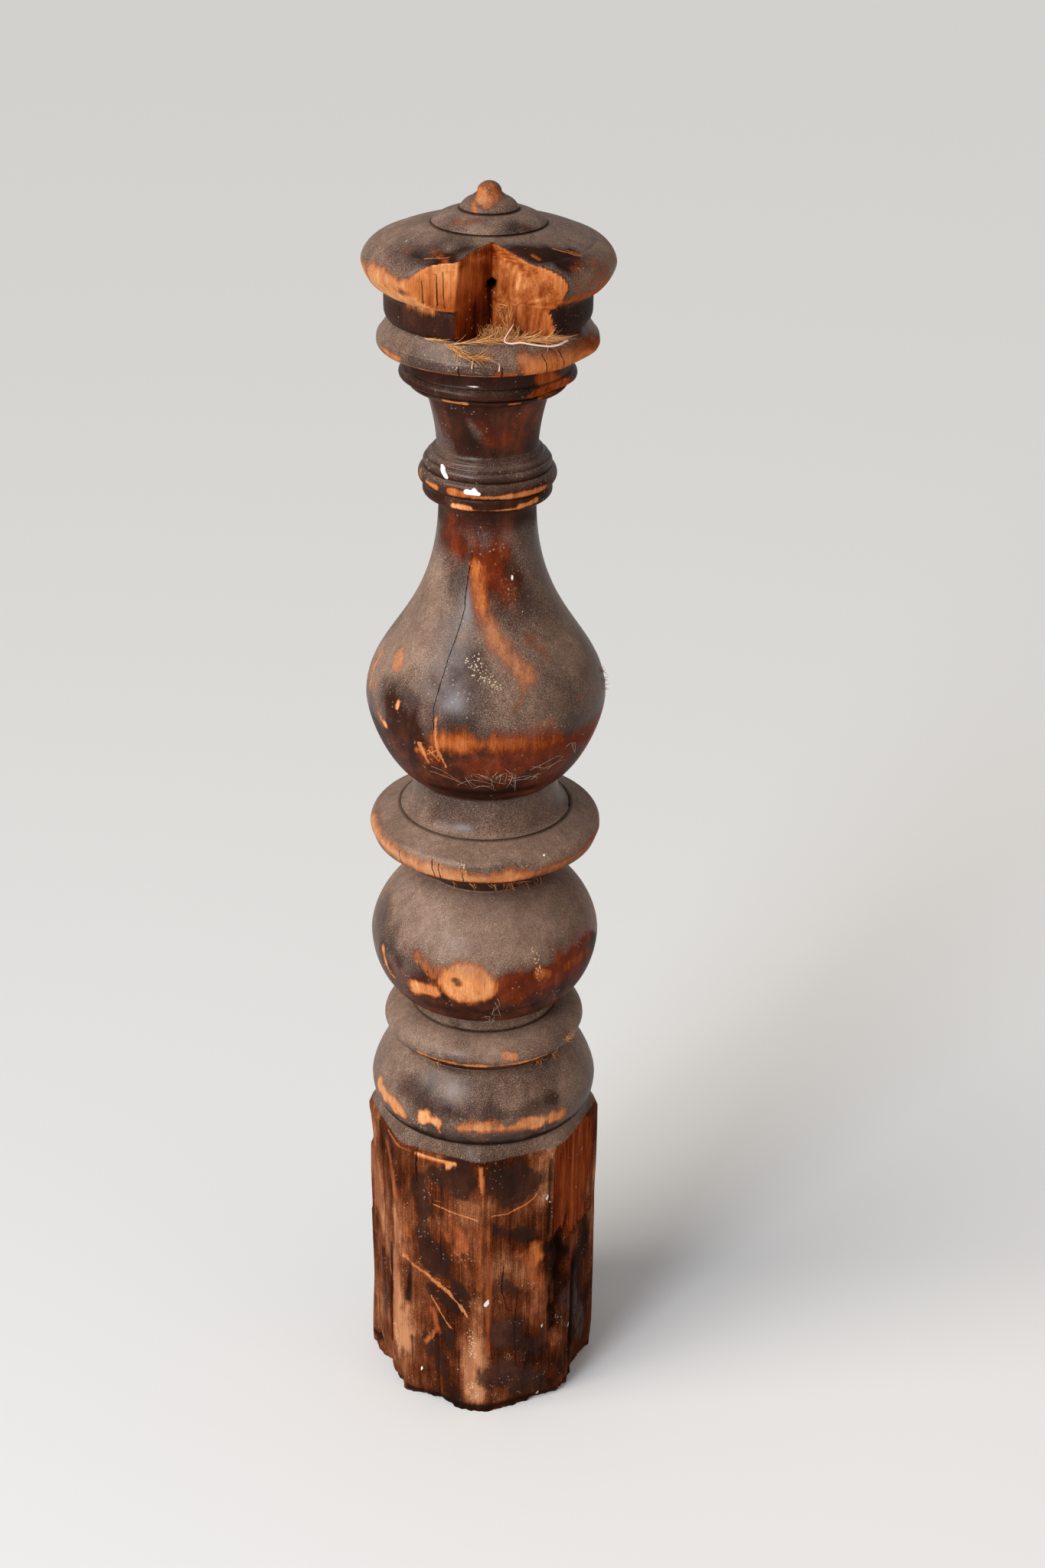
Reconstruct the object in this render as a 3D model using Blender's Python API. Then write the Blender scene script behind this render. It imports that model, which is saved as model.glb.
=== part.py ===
"""Turned wooden newel post, broken out of its stair.

One solid of old wood: a domed cap with a nipple, a drum and a flange, two
rings, a collar of three beads, a vase with a fat bulb, a conical disc, a
flattened ball, a second disc, a torus and an eight-sided foot. A V-shaped
housing for the handrail is chopped into the front of the cap and drum.
The post stands on the flat underside of its foot. X runs across the front,
+Y goes away from the front, +Z up. Sizes are in metres.
"""
import math

import bmesh
import bpy
from mathutils import Matrix

SEGMENTS = 32
BEAD_STEPS = 2
EASE_STEPS = 3
ROUND_STEPS = 5
BELLY_STEPS = 6
VASE_STEPS = 10
EDGE_SHARP = math.radians(32)
GROOVE = 0.0008

# Eight-sided foot and its sloping shoulder
FOOT_SIDES = 8
FOOT_CORNER_RADIUS = 0.0976
FOOT_CORNER_WEAR = 0.0012
FOOT_HEIGHT = 0.2515
FOOT_BANDS = 3
SHOULDER_EDGE_WEAR = 0.0045
SHOULDER_EDGE_INSET = 0.0018
SHOULDER_RISE = 0.0125
SHOULDER_TOP_RADIUS = 0.0850

# Torus on the shoulder
TORUS_RADIUS = 0.0922
TORUS_LOWER = 0.0190
TORUS_UPPER = 0.0410
TORUS_TOP_RADIUS = 0.0680
TORUS_FULLNESS = 1.4

# Low disc, with a narrow fillet above it
LOW_DISC_LIP = 0.0100
LOW_DISC_EDGE_RADIUS = 0.0795
LOW_DISC_RADIUS = 0.0813
LOW_DISC_EDGE_HEIGHT = 0.0050
LOW_DISC_DOME = 0.0152
LOW_DISC_TOP_RADIUS = 0.0588
FILLET_RADIUS = 0.0596
FILLET_HEIGHT = 0.0110

# Flattened ball
BALL_FOOT_RADIUS = 0.0575
BALL_RADIUS = 0.0912
BALL_LOWER = 0.0525
BALL_UPPER = 0.0560
BALL_TOP_RADIUS = 0.0450
BALL_LOWER_FULLNESS = 1.85
BALL_UPPER_FULLNESS = 1.7

# Middle disc
MID_DISC_LIP = 0.0315
MID_DISC_EDGE_RADIUS = 0.0873
MID_DISC_RADIUS = 0.0909
MID_DISC_EDGE_HEIGHT = 0.0085
MID_DISC_ROUND_RADIUS = 0.0850
MID_DISC_ROUND_HEIGHT = 0.0100
MID_DISC_CONE_HEIGHT = 0.0070
MID_DISC_TOP_RADIUS = 0.0682

# Cove under the bulb
COVE_FOOT_RADIUS = 0.0668
COVE_HEIGHT = 0.0295
COVE_TOP_RADIUS = 0.0560

# Bulb and the slender neck of the vase
BULB_RADIUS = 0.0923
BULB_FULLNESS = 1.5
BULB_LOWER = 0.0655
BULB_UPPER_HANDLE = 0.0490
VASE_HEIGHT = 0.1585
VASE_NECK_HANDLE = 0.0960
VASE_NECK_RADIUS = 0.0368

# Collar of three beads and two fillets
COLLAR_FOOT_STEP = 0.0015
COLLAR_FOOT_RADIUS = 0.0390
BEAD_LOW_RADIUS = 0.0486
BEAD_LOW_HEIGHT = 0.0120
COLLAR_GROOVE_LOW_RADIUS = 0.0472
BEAD_MAIN_RADIUS = 0.0518
BEAD_MAIN_HEIGHT = 0.0125
COLLAR_GROOVE_HIGH_RADIUS = 0.0474
BEAD_HIGH_RADIUS = 0.0482
BEAD_HIGH_HEIGHT = 0.0070
FILLET_WIDE_RADIUS = 0.0452
FILLET_NARROW_RADIUS = 0.0415
COLLAR_FILLET_HEIGHT = 0.0020

# Neck that flares up to the rings
NECK_RADIUS = 0.0380
NECK_HEIGHT = 0.0435
NECK_TOP_RADIUS = 0.0465
NECK_LOWER_HANDLE = 0.0120
NECK_UPPER_HANDLE = 0.0100

# Two rings and the band under the flange
RING_LOW_RADIUS = 0.0590
RING_LOW_HEIGHT = 0.0066
RING_GROOVE_RADIUS = 0.0575
RING_HIGH_RADIUS = 0.0652
RING_HIGH_HEIGHT = 0.0090
BAND_RADIUS = 0.0608
BAND_HEIGHT = 0.0095

# Flange and drum
FLANGE_LIP = 0.0045
FLANGE_EDGE_RADIUS = 0.0748
FLANGE_RADIUS = 0.0810
FLANGE_LOWER_ROUND = 0.0055
FLANGE_UPPER_ROUND = 0.0060
FLANGE_EASE = 0.0016
FLANGE_SLOPE_HEIGHT = 0.0105
DRUM_FOOT_RADIUS = 0.0722
DRUM_ROUND = 0.0080
DRUM_RADIUS = 0.0755
DRUM_HEIGHT = 0.0145

# Cap: rim, dome, two shallow cones and the nipple
RIM_RADIUS = 0.0915
RIM_UNDERSIDE = 0.0190
RIM_ROUND = 0.0160
RIM_TOP_RADIUS = 0.0760
RIM_FULLNESS = 1.65
RIM_UNDERSIDE_FULLNESS = 1.6
DOME_RISE = 0.0105
DOME_TOP_RADIUS = 0.0422
DOME_FULLNESS = 1.25
CONE_LOW_RISE = 0.0088
CONE_FULLNESS = 1.45
CONE_LOW_TOP_RADIUS = 0.0222
CONE_HIGH_RISE = 0.0073
NIPPLE_FOOT_RADIUS = 0.0138
NIPPLE_RADIUS = 0.0092
NIPPLE_FLARE = 0.0036
NIPPLE_TIP = 0.0080

# Rail housing: a V in plan, its corner ahead of the axis
HOUSING_CORNER_X = 0.0030
HOUSING_CORNER_DEPTH = 0.0450
HOUSING_LEFT_ANGLE = math.radians(-133.5)
HOUSING_RIGHT_ANGLE = math.radians(-20.0)
HOUSING_RIGHT_TOP_ANGLE = math.radians(-50.0)
HOUSING_FLOOR_DROP = 0.0010
FRONT_FLAT = 0.0715
FRONT_FLAT_RIGHT_X = 0.0540
FRONT_FLAT_LEDGE = 0.0010
HOUSING_STEPS = 6
CUT_MARGIN = 0.0300

# Bolt hole in the corner of the housing
BOLT_DIAMETER = 0.0078
BOLT_DEPTH = 0.0170
BOLT_ABOVE_FLOOR = 0.0360
BOLT_SIDES = 10

# Split that took the front-right lip off the flange
LIP_SPLIT_ANGLE = math.radians(-32.0)
LIP_SPLIT_TILT = math.radians(38.0)
LIP_SPLIT_BITE = 0.0034
LIP_SPLIT_WIDTH = 0.0900
LIP_SPLIT_THICK = 0.0120
LIP_SPLIT_HIGH = 0.0220

# Rotted groove down the front-right corner of the foot
ROT_ANGLE = math.radians(-42.0)
ROT_WIDTH = 0.0150
ROT_DEPTH = 0.0095
ROT_FOOT_GAP = 0.0240
ROT_LENGTH = 0.1750
ROT_STATIONS = 7
ROT_SIDES = 8
ROT_POINT = 0.25

# Slab split off the foot above the rotted groove
SLAB_ANGLE = math.radians(-28.0)
SLAB_BITE = 0.0035
SLAB_DROP = 0.1080
SLAB_WIDTH = 0.0300

# Chips on the foot: direction, height above the floor, bite, size
CHIP_ROUNDNESS = 2
CHIPS = (
    (math.radians(180.0), 0.2290, 0.0030, 0.0150),
    (math.radians(-168.0), 0.0120, 0.0045, 0.0130),
    (math.radians(-140.0), 0.0040, 0.0050, 0.0120),
    (math.radians(70.0), 0.0060, 0.0040, 0.0140),
)

WOOD_COLOUR = (0.105, 0.055, 0.034, 1.0)
TORN_COLOUR = (0.42, 0.16, 0.055, 1.0)
WOOD_ROUGHNESS = 0.62
TORN_ROUGHNESS = 0.80


def quarter(start, end, steps, leaves_level, fullness):
    """Points after start, up to end. Fullness 2 is an ellipse, 1 a straight line."""
    points = []
    for step in range(1, steps + 1):
        turn = 0.5 * math.pi * step / steps
        leading = abs(math.sin(turn)) ** (2.0 / fullness)
        trailing = 1.0 - abs(math.cos(turn)) ** (2.0 / fullness)
        across, along = (leading, trailing) if leaves_level else (trailing, leading)
        radius = start[0] + (end[0] - start[0]) * across
        height = start[1] + (end[1] - start[1]) * along
        points.append((radius, height))
    return points


def bezier(start, first, second, end, steps):
    """Points of a cubic curve after start, up to end."""
    points = []
    corners = (start, first, second, end)
    for step in range(1, steps + 1):
        t = step / steps
        weights = ((1 - t) ** 3, 3 * t * (1 - t) ** 2, 3 * t * t * (1 - t), t ** 3)
        radius = sum(weight * corner[0] for weight, corner in zip(weights, corners))
        height = sum(weight * corner[1] for weight, corner in zip(weights, corners))
        points.append((radius, height))
    return points


class Outline:
    """Half outline of the turned work, laid from the shoulder upwards."""

    def __init__(self, radius, height):
        self.points = [(radius, height)]

    @property
    def top(self):
        return self.points[-1]

    def line(self, radius, rise):
        """A straight stretch to a radius, this much higher."""
        self.points.append((radius, self.top[1] + rise))

    def groove(self, radius):
        """A scored V whose far side starts at a radius."""
        self.line(min(radius, self.top[0]) - GROOVE, 0.5 * GROOVE)
        self.line(radius, 0.5 * GROOVE)

    def swell(self, radius, rise, steps, fullness=2.0):
        """A round that leaves the axis sideways and ends upright."""
        end = (radius, self.top[1] + rise)
        self.points += quarter(self.top, end, steps, True, fullness)

    def close(self, radius, rise, steps, fullness=2.0):
        """A round that leaves upright and ends sideways."""
        end = (radius, self.top[1] + rise)
        self.points += quarter(self.top, end, steps, False, fullness)

    def bead(self, crest, end_radius, height):
        """A half-round ring between two grooves."""
        self.swell(crest, 0.5 * height, BEAD_STEPS)
        self.close(end_radius, 0.5 * height, BEAD_STEPS)


def foot_half(outline):
    """The torus, the low disc and the ball."""
    outline.swell(TORUS_RADIUS, TORUS_LOWER, EASE_STEPS)
    outline.close(TORUS_TOP_RADIUS, TORUS_UPPER, ROUND_STEPS, TORUS_FULLNESS)
    outline.line(LOW_DISC_EDGE_RADIUS, LOW_DISC_LIP)
    outline.line(LOW_DISC_RADIUS, LOW_DISC_EDGE_HEIGHT)
    outline.close(LOW_DISC_TOP_RADIUS, LOW_DISC_DOME, ROUND_STEPS)
    outline.groove(FILLET_RADIUS)
    outline.line(FILLET_RADIUS, FILLET_HEIGHT)
    outline.groove(BALL_FOOT_RADIUS)
    outline.swell(BALL_RADIUS, BALL_LOWER, BELLY_STEPS, BALL_LOWER_FULLNESS)
    outline.close(BALL_TOP_RADIUS, BALL_UPPER, BELLY_STEPS, BALL_UPPER_FULLNESS)


def vase(outline):
    """The middle disc, the cove, the bulb and the vase above it."""
    outline.line(MID_DISC_EDGE_RADIUS, MID_DISC_LIP)
    outline.line(MID_DISC_RADIUS, MID_DISC_EDGE_HEIGHT)
    outline.close(MID_DISC_ROUND_RADIUS, MID_DISC_ROUND_HEIGHT, EASE_STEPS)
    outline.line(MID_DISC_TOP_RADIUS, MID_DISC_CONE_HEIGHT)
    outline.groove(COVE_FOOT_RADIUS)
    outline.swell(COVE_TOP_RADIUS, COVE_HEIGHT, ROUND_STEPS)
    outline.swell(BULB_RADIUS, BULB_LOWER, BELLY_STEPS, BULB_FULLNESS)
    low = outline.top
    high = (VASE_NECK_RADIUS, low[1] + VASE_HEIGHT)
    first = (low[0], low[1] + BULB_UPPER_HANDLE)
    second = (high[0], high[1] - VASE_NECK_HANDLE)
    outline.points += bezier(low, first, second, high, VASE_STEPS)


def collar(outline):
    """Three beads, two fillets and the neck above them."""
    outline.line(COLLAR_FOOT_RADIUS, COLLAR_FOOT_STEP)
    outline.bead(BEAD_LOW_RADIUS, COLLAR_GROOVE_LOW_RADIUS, BEAD_LOW_HEIGHT)
    outline.bead(BEAD_MAIN_RADIUS, COLLAR_GROOVE_HIGH_RADIUS, BEAD_MAIN_HEIGHT)
    outline.bead(BEAD_HIGH_RADIUS, FILLET_WIDE_RADIUS, BEAD_HIGH_HEIGHT)
    outline.line(FILLET_WIDE_RADIUS, COLLAR_FILLET_HEIGHT)
    outline.line(FILLET_NARROW_RADIUS, COLLAR_FILLET_HEIGHT)
    outline.line(FILLET_NARROW_RADIUS, COLLAR_FILLET_HEIGHT)
    outline.line(NECK_RADIUS, COLLAR_FILLET_HEIGHT)
    low = outline.top
    high = (NECK_TOP_RADIUS, low[1] + NECK_HEIGHT)
    first = (low[0], low[1] + NECK_LOWER_HANDLE)
    second = (0.5 * (low[0] + high[0]), high[1] - NECK_UPPER_HANDLE)
    outline.points += bezier(low, first, second, high, ROUND_STEPS)


def head(outline):
    """The rings, flange, drum and cap. Returns the drum's foot and top levels."""
    outline.swell(RING_LOW_RADIUS, RING_LOW_HEIGHT, EASE_STEPS)
    outline.groove(RING_GROOVE_RADIUS)
    outline.bead(RING_HIGH_RADIUS, BAND_RADIUS, RING_HIGH_HEIGHT)
    outline.line(BAND_RADIUS, BAND_HEIGHT)
    outline.line(FLANGE_EDGE_RADIUS, FLANGE_LIP)
    outline.swell(FLANGE_RADIUS, FLANGE_LOWER_ROUND, BEAD_STEPS)
    outline.close(FLANGE_RADIUS - FLANGE_EASE, FLANGE_UPPER_ROUND, BEAD_STEPS)
    outline.line(DRUM_FOOT_RADIUS, FLANGE_SLOPE_HEIGHT)
    drum_foot = outline.top[1]
    outline.swell(DRUM_RADIUS, DRUM_ROUND, BEAD_STEPS)
    outline.line(DRUM_RADIUS, DRUM_HEIGHT)
    drum_top = outline.top[1]
    outline.swell(RIM_RADIUS, RIM_UNDERSIDE, ROUND_STEPS, RIM_UNDERSIDE_FULLNESS)
    outline.close(RIM_TOP_RADIUS, RIM_ROUND, ROUND_STEPS, RIM_FULLNESS)
    outline.close(DOME_TOP_RADIUS, DOME_RISE, EASE_STEPS, DOME_FULLNESS)
    outline.groove(DOME_TOP_RADIUS - GROOVE)
    outline.close(CONE_LOW_TOP_RADIUS, CONE_LOW_RISE, EASE_STEPS, CONE_FULLNESS)
    outline.groove(CONE_LOW_TOP_RADIUS - GROOVE)
    outline.close(NIPPLE_FOOT_RADIUS, CONE_HIGH_RISE, EASE_STEPS, CONE_FULLNESS)
    outline.line(NIPPLE_RADIUS, NIPPLE_FLARE)
    outline.close(0.0, NIPPLE_TIP, ROUND_STEPS)
    return drum_foot, drum_top


def octagon_radius(angle):
    """Distance from the axis to the foot's side, its corners a little worn."""
    side = 2.0 * math.pi / FOOT_SIDES
    off_flat = (angle % side) - 0.5 * side
    flat = FOOT_CORNER_RADIUS * math.cos(0.5 * side)
    return min(flat / math.cos(off_flat), FOOT_CORNER_RADIUS - FOOT_CORNER_WEAR)


def foot_rings():
    """Levels of the foot's rings, each with its inset from the full size."""
    rings = [(FOOT_HEIGHT * band / FOOT_BANDS, 0.0) for band in range(FOOT_BANDS + 1)]
    rings.append((FOOT_HEIGHT + SHOULDER_EDGE_WEAR, SHOULDER_EDGE_INSET))
    return rings


def ring_of(bm, height, radius_at):
    """One ring of vertices at a level."""
    ring = []
    for index in range(SEGMENTS):
        angle = 2.0 * math.pi * index / SEGMENTS
        radius = radius_at(angle)
        ring.append(bm.verts.new((radius * math.cos(angle), radius * math.sin(angle), height)))
    return ring


def body_mesh(outline):
    """The post before it was cut, as one closed skin."""
    bm = bmesh.new()
    rings = []
    for height, inset in foot_rings():
        rings.append(ring_of(bm, height, lambda angle, inset=inset: octagon_radius(angle) - inset))
    for radius, height in outline.points[:-1]:
        rings.append(ring_of(bm, height, lambda angle, radius=radius: radius))
    for below, above in zip(rings, rings[1:]):
        for index in range(SEGMENTS):
            after = (index + 1) % SEGMENTS
            bm.faces.new((below[index], below[after], above[after], above[index]))
    tip = bm.verts.new((0.0, 0.0, outline.top[1]))
    for index in range(SEGMENTS):
        bm.faces.new((rings[-1][index], rings[-1][(index + 1) % SEGMENTS], tip))
    bm.faces.new(list(reversed(rings[0])))
    return finished_mesh(bm, "newel_post")


def finished_mesh(bm, name):
    """A mesh with smooth rounds and crisp edges."""
    bmesh.ops.recalc_face_normals(bm, faces=bm.faces)
    mesh = bpy.data.meshes.new(name)
    bm.to_mesh(mesh)
    bm.free()
    mesh.shade_smooth()
    mesh.set_sharp_from_angle(angle=EDGE_SHARP)
    return mesh


def place(name, mesh, material):
    """An object in the scene with one material."""
    piece = bpy.data.objects.new(name, mesh)
    mesh.materials.append(material)
    bpy.context.scene.collection.objects.link(piece)
    return piece


def painted(name, colour, roughness):
    """A plain Principled material."""
    material = bpy.data.materials.new(name)
    material.use_nodes = True
    shader = material.node_tree.nodes["Principled BSDF"]
    shader.inputs["Base Color"].default_value = colour
    shader.inputs["Roughness"].default_value = roughness
    shader.inputs["Metallic"].default_value = 0.0
    material.diffuse_color = colour
    return material


def polar(angle, distance):
    """A direction in plan times a distance."""
    return (distance * math.cos(angle), distance * math.sin(angle))


def lofted(bm, sections):
    """A closed solid through polygons of the same number of corners."""
    loops = [[bm.verts.new(corner) for corner in section] for section in sections]
    count = len(loops[0])
    for below, above in zip(loops, loops[1:]):
        for index in range(count):
            after = (index + 1) % count
            bm.faces.new((below[index], below[after], above[after]))
            bm.faces.new((below[index], above[after], above[index]))
    bm.faces.new(list(reversed(loops[0])))
    bm.faces.new(loops[-1])


def housing_section(right_angle, height):
    """The V of the rail housing at one level, open past the front of the cap."""
    reach = RIM_RADIUS + CUT_MARGIN
    corner_x, corner_y = HOUSING_CORNER_X, -HOUSING_CORNER_DEPTH
    depth = reach - HOUSING_CORNER_DEPTH
    left = (corner_x - depth / math.tan(HOUSING_LEFT_ANGLE), -reach)
    run = min(reach - corner_x, depth / math.tan(-right_angle))
    right = (corner_x + run, corner_y + run * math.tan(right_angle))
    front = (right[0], -reach - CUT_MARGIN)
    return [(x, y, height) for x, y in ((corner_x, corner_y), left, front, right)]


def housing_cutter(floor, top):
    """The chopped V, its right wall leaning out towards the top of the cap."""
    bm = bmesh.new()
    lean = (HOUSING_RIGHT_TOP_ANGLE - HOUSING_RIGHT_ANGLE) / (top - floor)
    high = top + CUT_MARGIN
    steps = [floor + (high - floor) * step / HOUSING_STEPS for step in range(HOUSING_STEPS + 1)]
    sections = []
    for height in steps:
        angle = HOUSING_RIGHT_ANGLE + lean * (min(height, top) - floor)
        sections.append(housing_section(angle, height))
    lofted(bm, sections)
    return finished_mesh(bm, "housing")


def block_cutter(name, centre, angle, tilt, size):
    """A block whose inner face stands at a place, turned in plan and tipped."""
    bm = bmesh.new()
    thick, wide, high = size
    half = 0.5 * wide
    corners = ((0.0, -half), (thick, -half), (thick, half), (0.0, half))
    sections = [[(x, y, level) for x, y in corners] for level in (-0.5 * high, 0.5 * high)]
    lofted(bm, sections)
    turn = Matrix.Rotation(angle, 4, "Z") @ Matrix.Rotation(tilt, 4, "Y")
    bmesh.ops.transform(bm, matrix=Matrix.Translation(centre) @ turn, verts=bm.verts)
    return finished_mesh(bm, name)


def front_flat_cutter(low, high):
    """The split that took the front of the cap's rim off flat."""
    deep = RIM_RADIUS + CUT_MARGIN
    centre = (0.5 * (FRONT_FLAT_RIGHT_X - deep), -FRONT_FLAT, 0.5 * (low + high))
    size = (deep, FRONT_FLAT_RIGHT_X + deep, high - low)
    return block_cutter("front_flat", centre, -0.5 * math.pi, 0.0, size)


def bolt_cutter(height):
    """The hole of the rail bolt, level, into the corner of the housing."""
    bm = bmesh.new()
    start = -HOUSING_CORNER_DEPTH - CUT_MARGIN
    end = -HOUSING_CORNER_DEPTH + BOLT_DEPTH
    sections = []
    for y in (start, end):
        section = []
        for index in range(BOLT_SIDES):
            x, z = polar(-2.0 * math.pi * index / BOLT_SIDES, 0.5 * BOLT_DIAMETER)
            section.append((HOUSING_CORNER_X + x, y, height + z))
        sections.append(section)
    lofted(bm, sections)
    return finished_mesh(bm, "bolt_hole")


def rot_cutter():
    """A long pointed groove, deepest at the middle of its length."""
    bm = bmesh.new()
    centre = polar(ROT_ANGLE, octagon_radius(ROT_ANGLE))
    out = polar(ROT_ANGLE, 1.0)
    along = (-out[1], out[0])
    sections = []
    for station in range(ROT_STATIONS):
        share = station / (ROT_STATIONS - 1)
        swell = ROT_POINT + (1.0 - ROT_POINT) * math.sin(math.pi * share)
        section = []
        for index in range(ROT_SIDES):
            across, deep = polar(2.0 * math.pi * index / ROT_SIDES, swell)
            across *= 0.5 * ROT_WIDTH
            deep *= ROT_DEPTH
            x = centre[0] + along[0] * across - out[0] * deep
            y = centre[1] + along[1] * across - out[1] * deep
            section.append((x, y, ROT_FOOT_GAP + ROT_LENGTH * share))
        sections.append(section)
    lofted(bm, sections)
    return finished_mesh(bm, "rot_groove")


def chip_cutter(index, angle, height, bite, size):
    """A round bite out of the side of the foot."""
    bm = bmesh.new()
    bmesh.ops.create_icosphere(bm, subdivisions=CHIP_ROUNDNESS, radius=size)
    x, y = polar(angle, octagon_radius(angle) + size - bite)
    bmesh.ops.translate(bm, vec=(x, y, height), verts=bm.verts)
    return finished_mesh(bm, f"chip_{index}")


def cutters(drum_foot, drum_top, top):
    """Every cut, in the order in which it is made."""
    floor = drum_foot - HOUSING_FLOOR_DROP
    yield housing_cutter(floor, top)
    yield front_flat_cutter(drum_top + FRONT_FLAT_LEDGE, top + CUT_MARGIN)
    yield bolt_cutter(floor + BOLT_ABOVE_FLOOR)
    lip_level = drum_foot - FLANGE_SLOPE_HEIGHT - FLANGE_UPPER_ROUND
    lip = polar(LIP_SPLIT_ANGLE, FLANGE_RADIUS - LIP_SPLIT_BITE)
    lip_size = (LIP_SPLIT_THICK, LIP_SPLIT_WIDTH, LIP_SPLIT_HIGH)
    yield block_cutter("lip_split", (*lip, lip_level), LIP_SPLIT_ANGLE, LIP_SPLIT_TILT, lip_size)
    yield rot_cutter()
    slab = polar(SLAB_ANGLE, octagon_radius(SLAB_ANGLE) - SLAB_BITE)
    slab_top = FOOT_HEIGHT + SHOULDER_EDGE_WEAR
    slab_size = (CUT_MARGIN, SLAB_WIDTH, SLAB_DROP)
    yield block_cutter("slab", (*slab, slab_top - 0.5 * SLAB_DROP), SLAB_ANGLE, 0.0, slab_size)
    for index, chip in enumerate(CHIPS):
        yield chip_cutter(index, *chip)


def cut(post, mesh, material):
    """Take a cutter's shape out of the post."""
    tool = place(mesh.name, mesh, material)
    tool.hide_render = True
    tool.display_type = "WIRE"
    tool.parent = post
    difference = post.modifiers.new(mesh.name, "BOOLEAN")
    difference.operation = "DIFFERENCE"
    difference.solver = "EXACT"
    difference.material_mode = "TRANSFER"
    difference.object = tool


def main():
    """Turn the post, then cut it as it was cut, split and rotted."""
    for item in list(bpy.data.objects):
        bpy.data.objects.remove(item, do_unlink=True)
    wood = painted("aged_wood", WOOD_COLOUR, WOOD_ROUGHNESS)
    torn = painted("torn_wood", TORN_COLOUR, TORN_ROUGHNESS)
    start = FOOT_HEIGHT + SHOULDER_EDGE_WEAR + SHOULDER_RISE
    outline = Outline(SHOULDER_TOP_RADIUS, start)
    foot_half(outline)
    vase(outline)
    collar(outline)
    drum_foot, drum_top = head(outline)
    post = place("newel_post", body_mesh(outline), wood)
    for mesh in cutters(drum_foot, drum_top, outline.top[1]):
        cut(post, mesh, torn)


main()
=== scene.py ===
"""Looks of an old turned newel post, broken out of its stair.

The post is one skin of rings and columns around its turning axis. Each moulding lays its own
rings. The rail housing, the splits, the rot and the chips then press that skin in, and marks
placed by angle and height say where the wood is bare, stained, dusty or spotted with paint,
and where grime and painted shade darken it.
Lengths are in metres. Angles are in degrees round the axis, and -90 faces the camera.
"""

import logging
import math
from dataclasses import dataclass, field, replace
from enum import Enum
from typing import Callable, Iterator, Sequence, Union

import bpy
import numpy as np
from mathutils import Matrix, Quaternion, Vector


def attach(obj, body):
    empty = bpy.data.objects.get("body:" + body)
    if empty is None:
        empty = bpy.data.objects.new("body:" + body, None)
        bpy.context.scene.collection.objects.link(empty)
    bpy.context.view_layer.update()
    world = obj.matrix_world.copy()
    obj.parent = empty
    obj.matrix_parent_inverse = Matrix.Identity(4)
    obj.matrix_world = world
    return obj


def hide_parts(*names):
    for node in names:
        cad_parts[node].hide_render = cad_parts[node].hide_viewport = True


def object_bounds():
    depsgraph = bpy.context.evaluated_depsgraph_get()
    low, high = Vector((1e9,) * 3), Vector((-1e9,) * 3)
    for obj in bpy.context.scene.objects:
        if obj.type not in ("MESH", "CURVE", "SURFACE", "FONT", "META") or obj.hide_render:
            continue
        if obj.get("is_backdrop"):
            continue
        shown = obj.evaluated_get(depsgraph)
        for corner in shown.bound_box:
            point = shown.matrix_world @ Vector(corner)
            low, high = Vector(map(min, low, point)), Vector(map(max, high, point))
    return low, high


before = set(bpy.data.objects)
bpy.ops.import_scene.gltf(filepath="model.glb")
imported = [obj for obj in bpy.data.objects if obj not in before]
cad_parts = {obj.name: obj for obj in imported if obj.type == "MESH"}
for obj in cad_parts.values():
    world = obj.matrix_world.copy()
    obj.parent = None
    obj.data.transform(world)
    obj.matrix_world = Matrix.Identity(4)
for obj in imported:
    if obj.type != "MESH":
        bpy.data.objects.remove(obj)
CAD_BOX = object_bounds()
LOG = logging.getLogger("newel_post")
MM = 0.001
FAR = 1.0

Colour = tuple[float, float, float, float]
Point = tuple[float, float, float]
Place = tuple[float, float]
Row = tuple[float, ...]
Stops = Sequence[tuple[float, Colour]]
Number = Union[float, "Signal"]
Field = np.ndarray
Looks = dict[str, Field]
Socket = bpy.types.NodeSocket


def srgb(red: float, green: float, blue: float) -> Colour:
    """A colour seen on a screen, 0 to 255, as the linear values that a shader takes."""
    def linear(value: float) -> float:
        share = value / 255.0
        return share / 12.92 if share <= 0.04045 else ((share + 0.055) / 1.055) ** 2.4
    return (linear(red), linear(green), linear(blue), 1.0)


def palette(*colours: tuple[int, int, int]) -> tuple[Colour, ...]:
    """Several such colours, from dark to light."""
    return tuple(srgb(*colour) for colour in colours)


def smooth_step(low: float, high: float, value: Field) -> Field:
    """0 below low, 1 above high, and a smooth rise between them."""
    share = np.clip((value - low) / (high - low), 0.0, 1.0)
    return share * share * (3.0 - 2.0 * share)


def soft_min(first: Field, second: Field, soft: float) -> Field:
    """The lesser of two fields, with the crease between them rounded off."""
    share = np.clip(0.5 + 0.5 * (second - first) / soft, 0.0, 1.0)
    return second * (1.0 - share) + first * share - soft * share * (1.0 - share)


def soft_max(first: Field, second: Field, soft: float) -> Field:
    """The greater of two fields, with the crease between them rounded off."""
    return -soft_min(-first, -second, soft)


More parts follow.
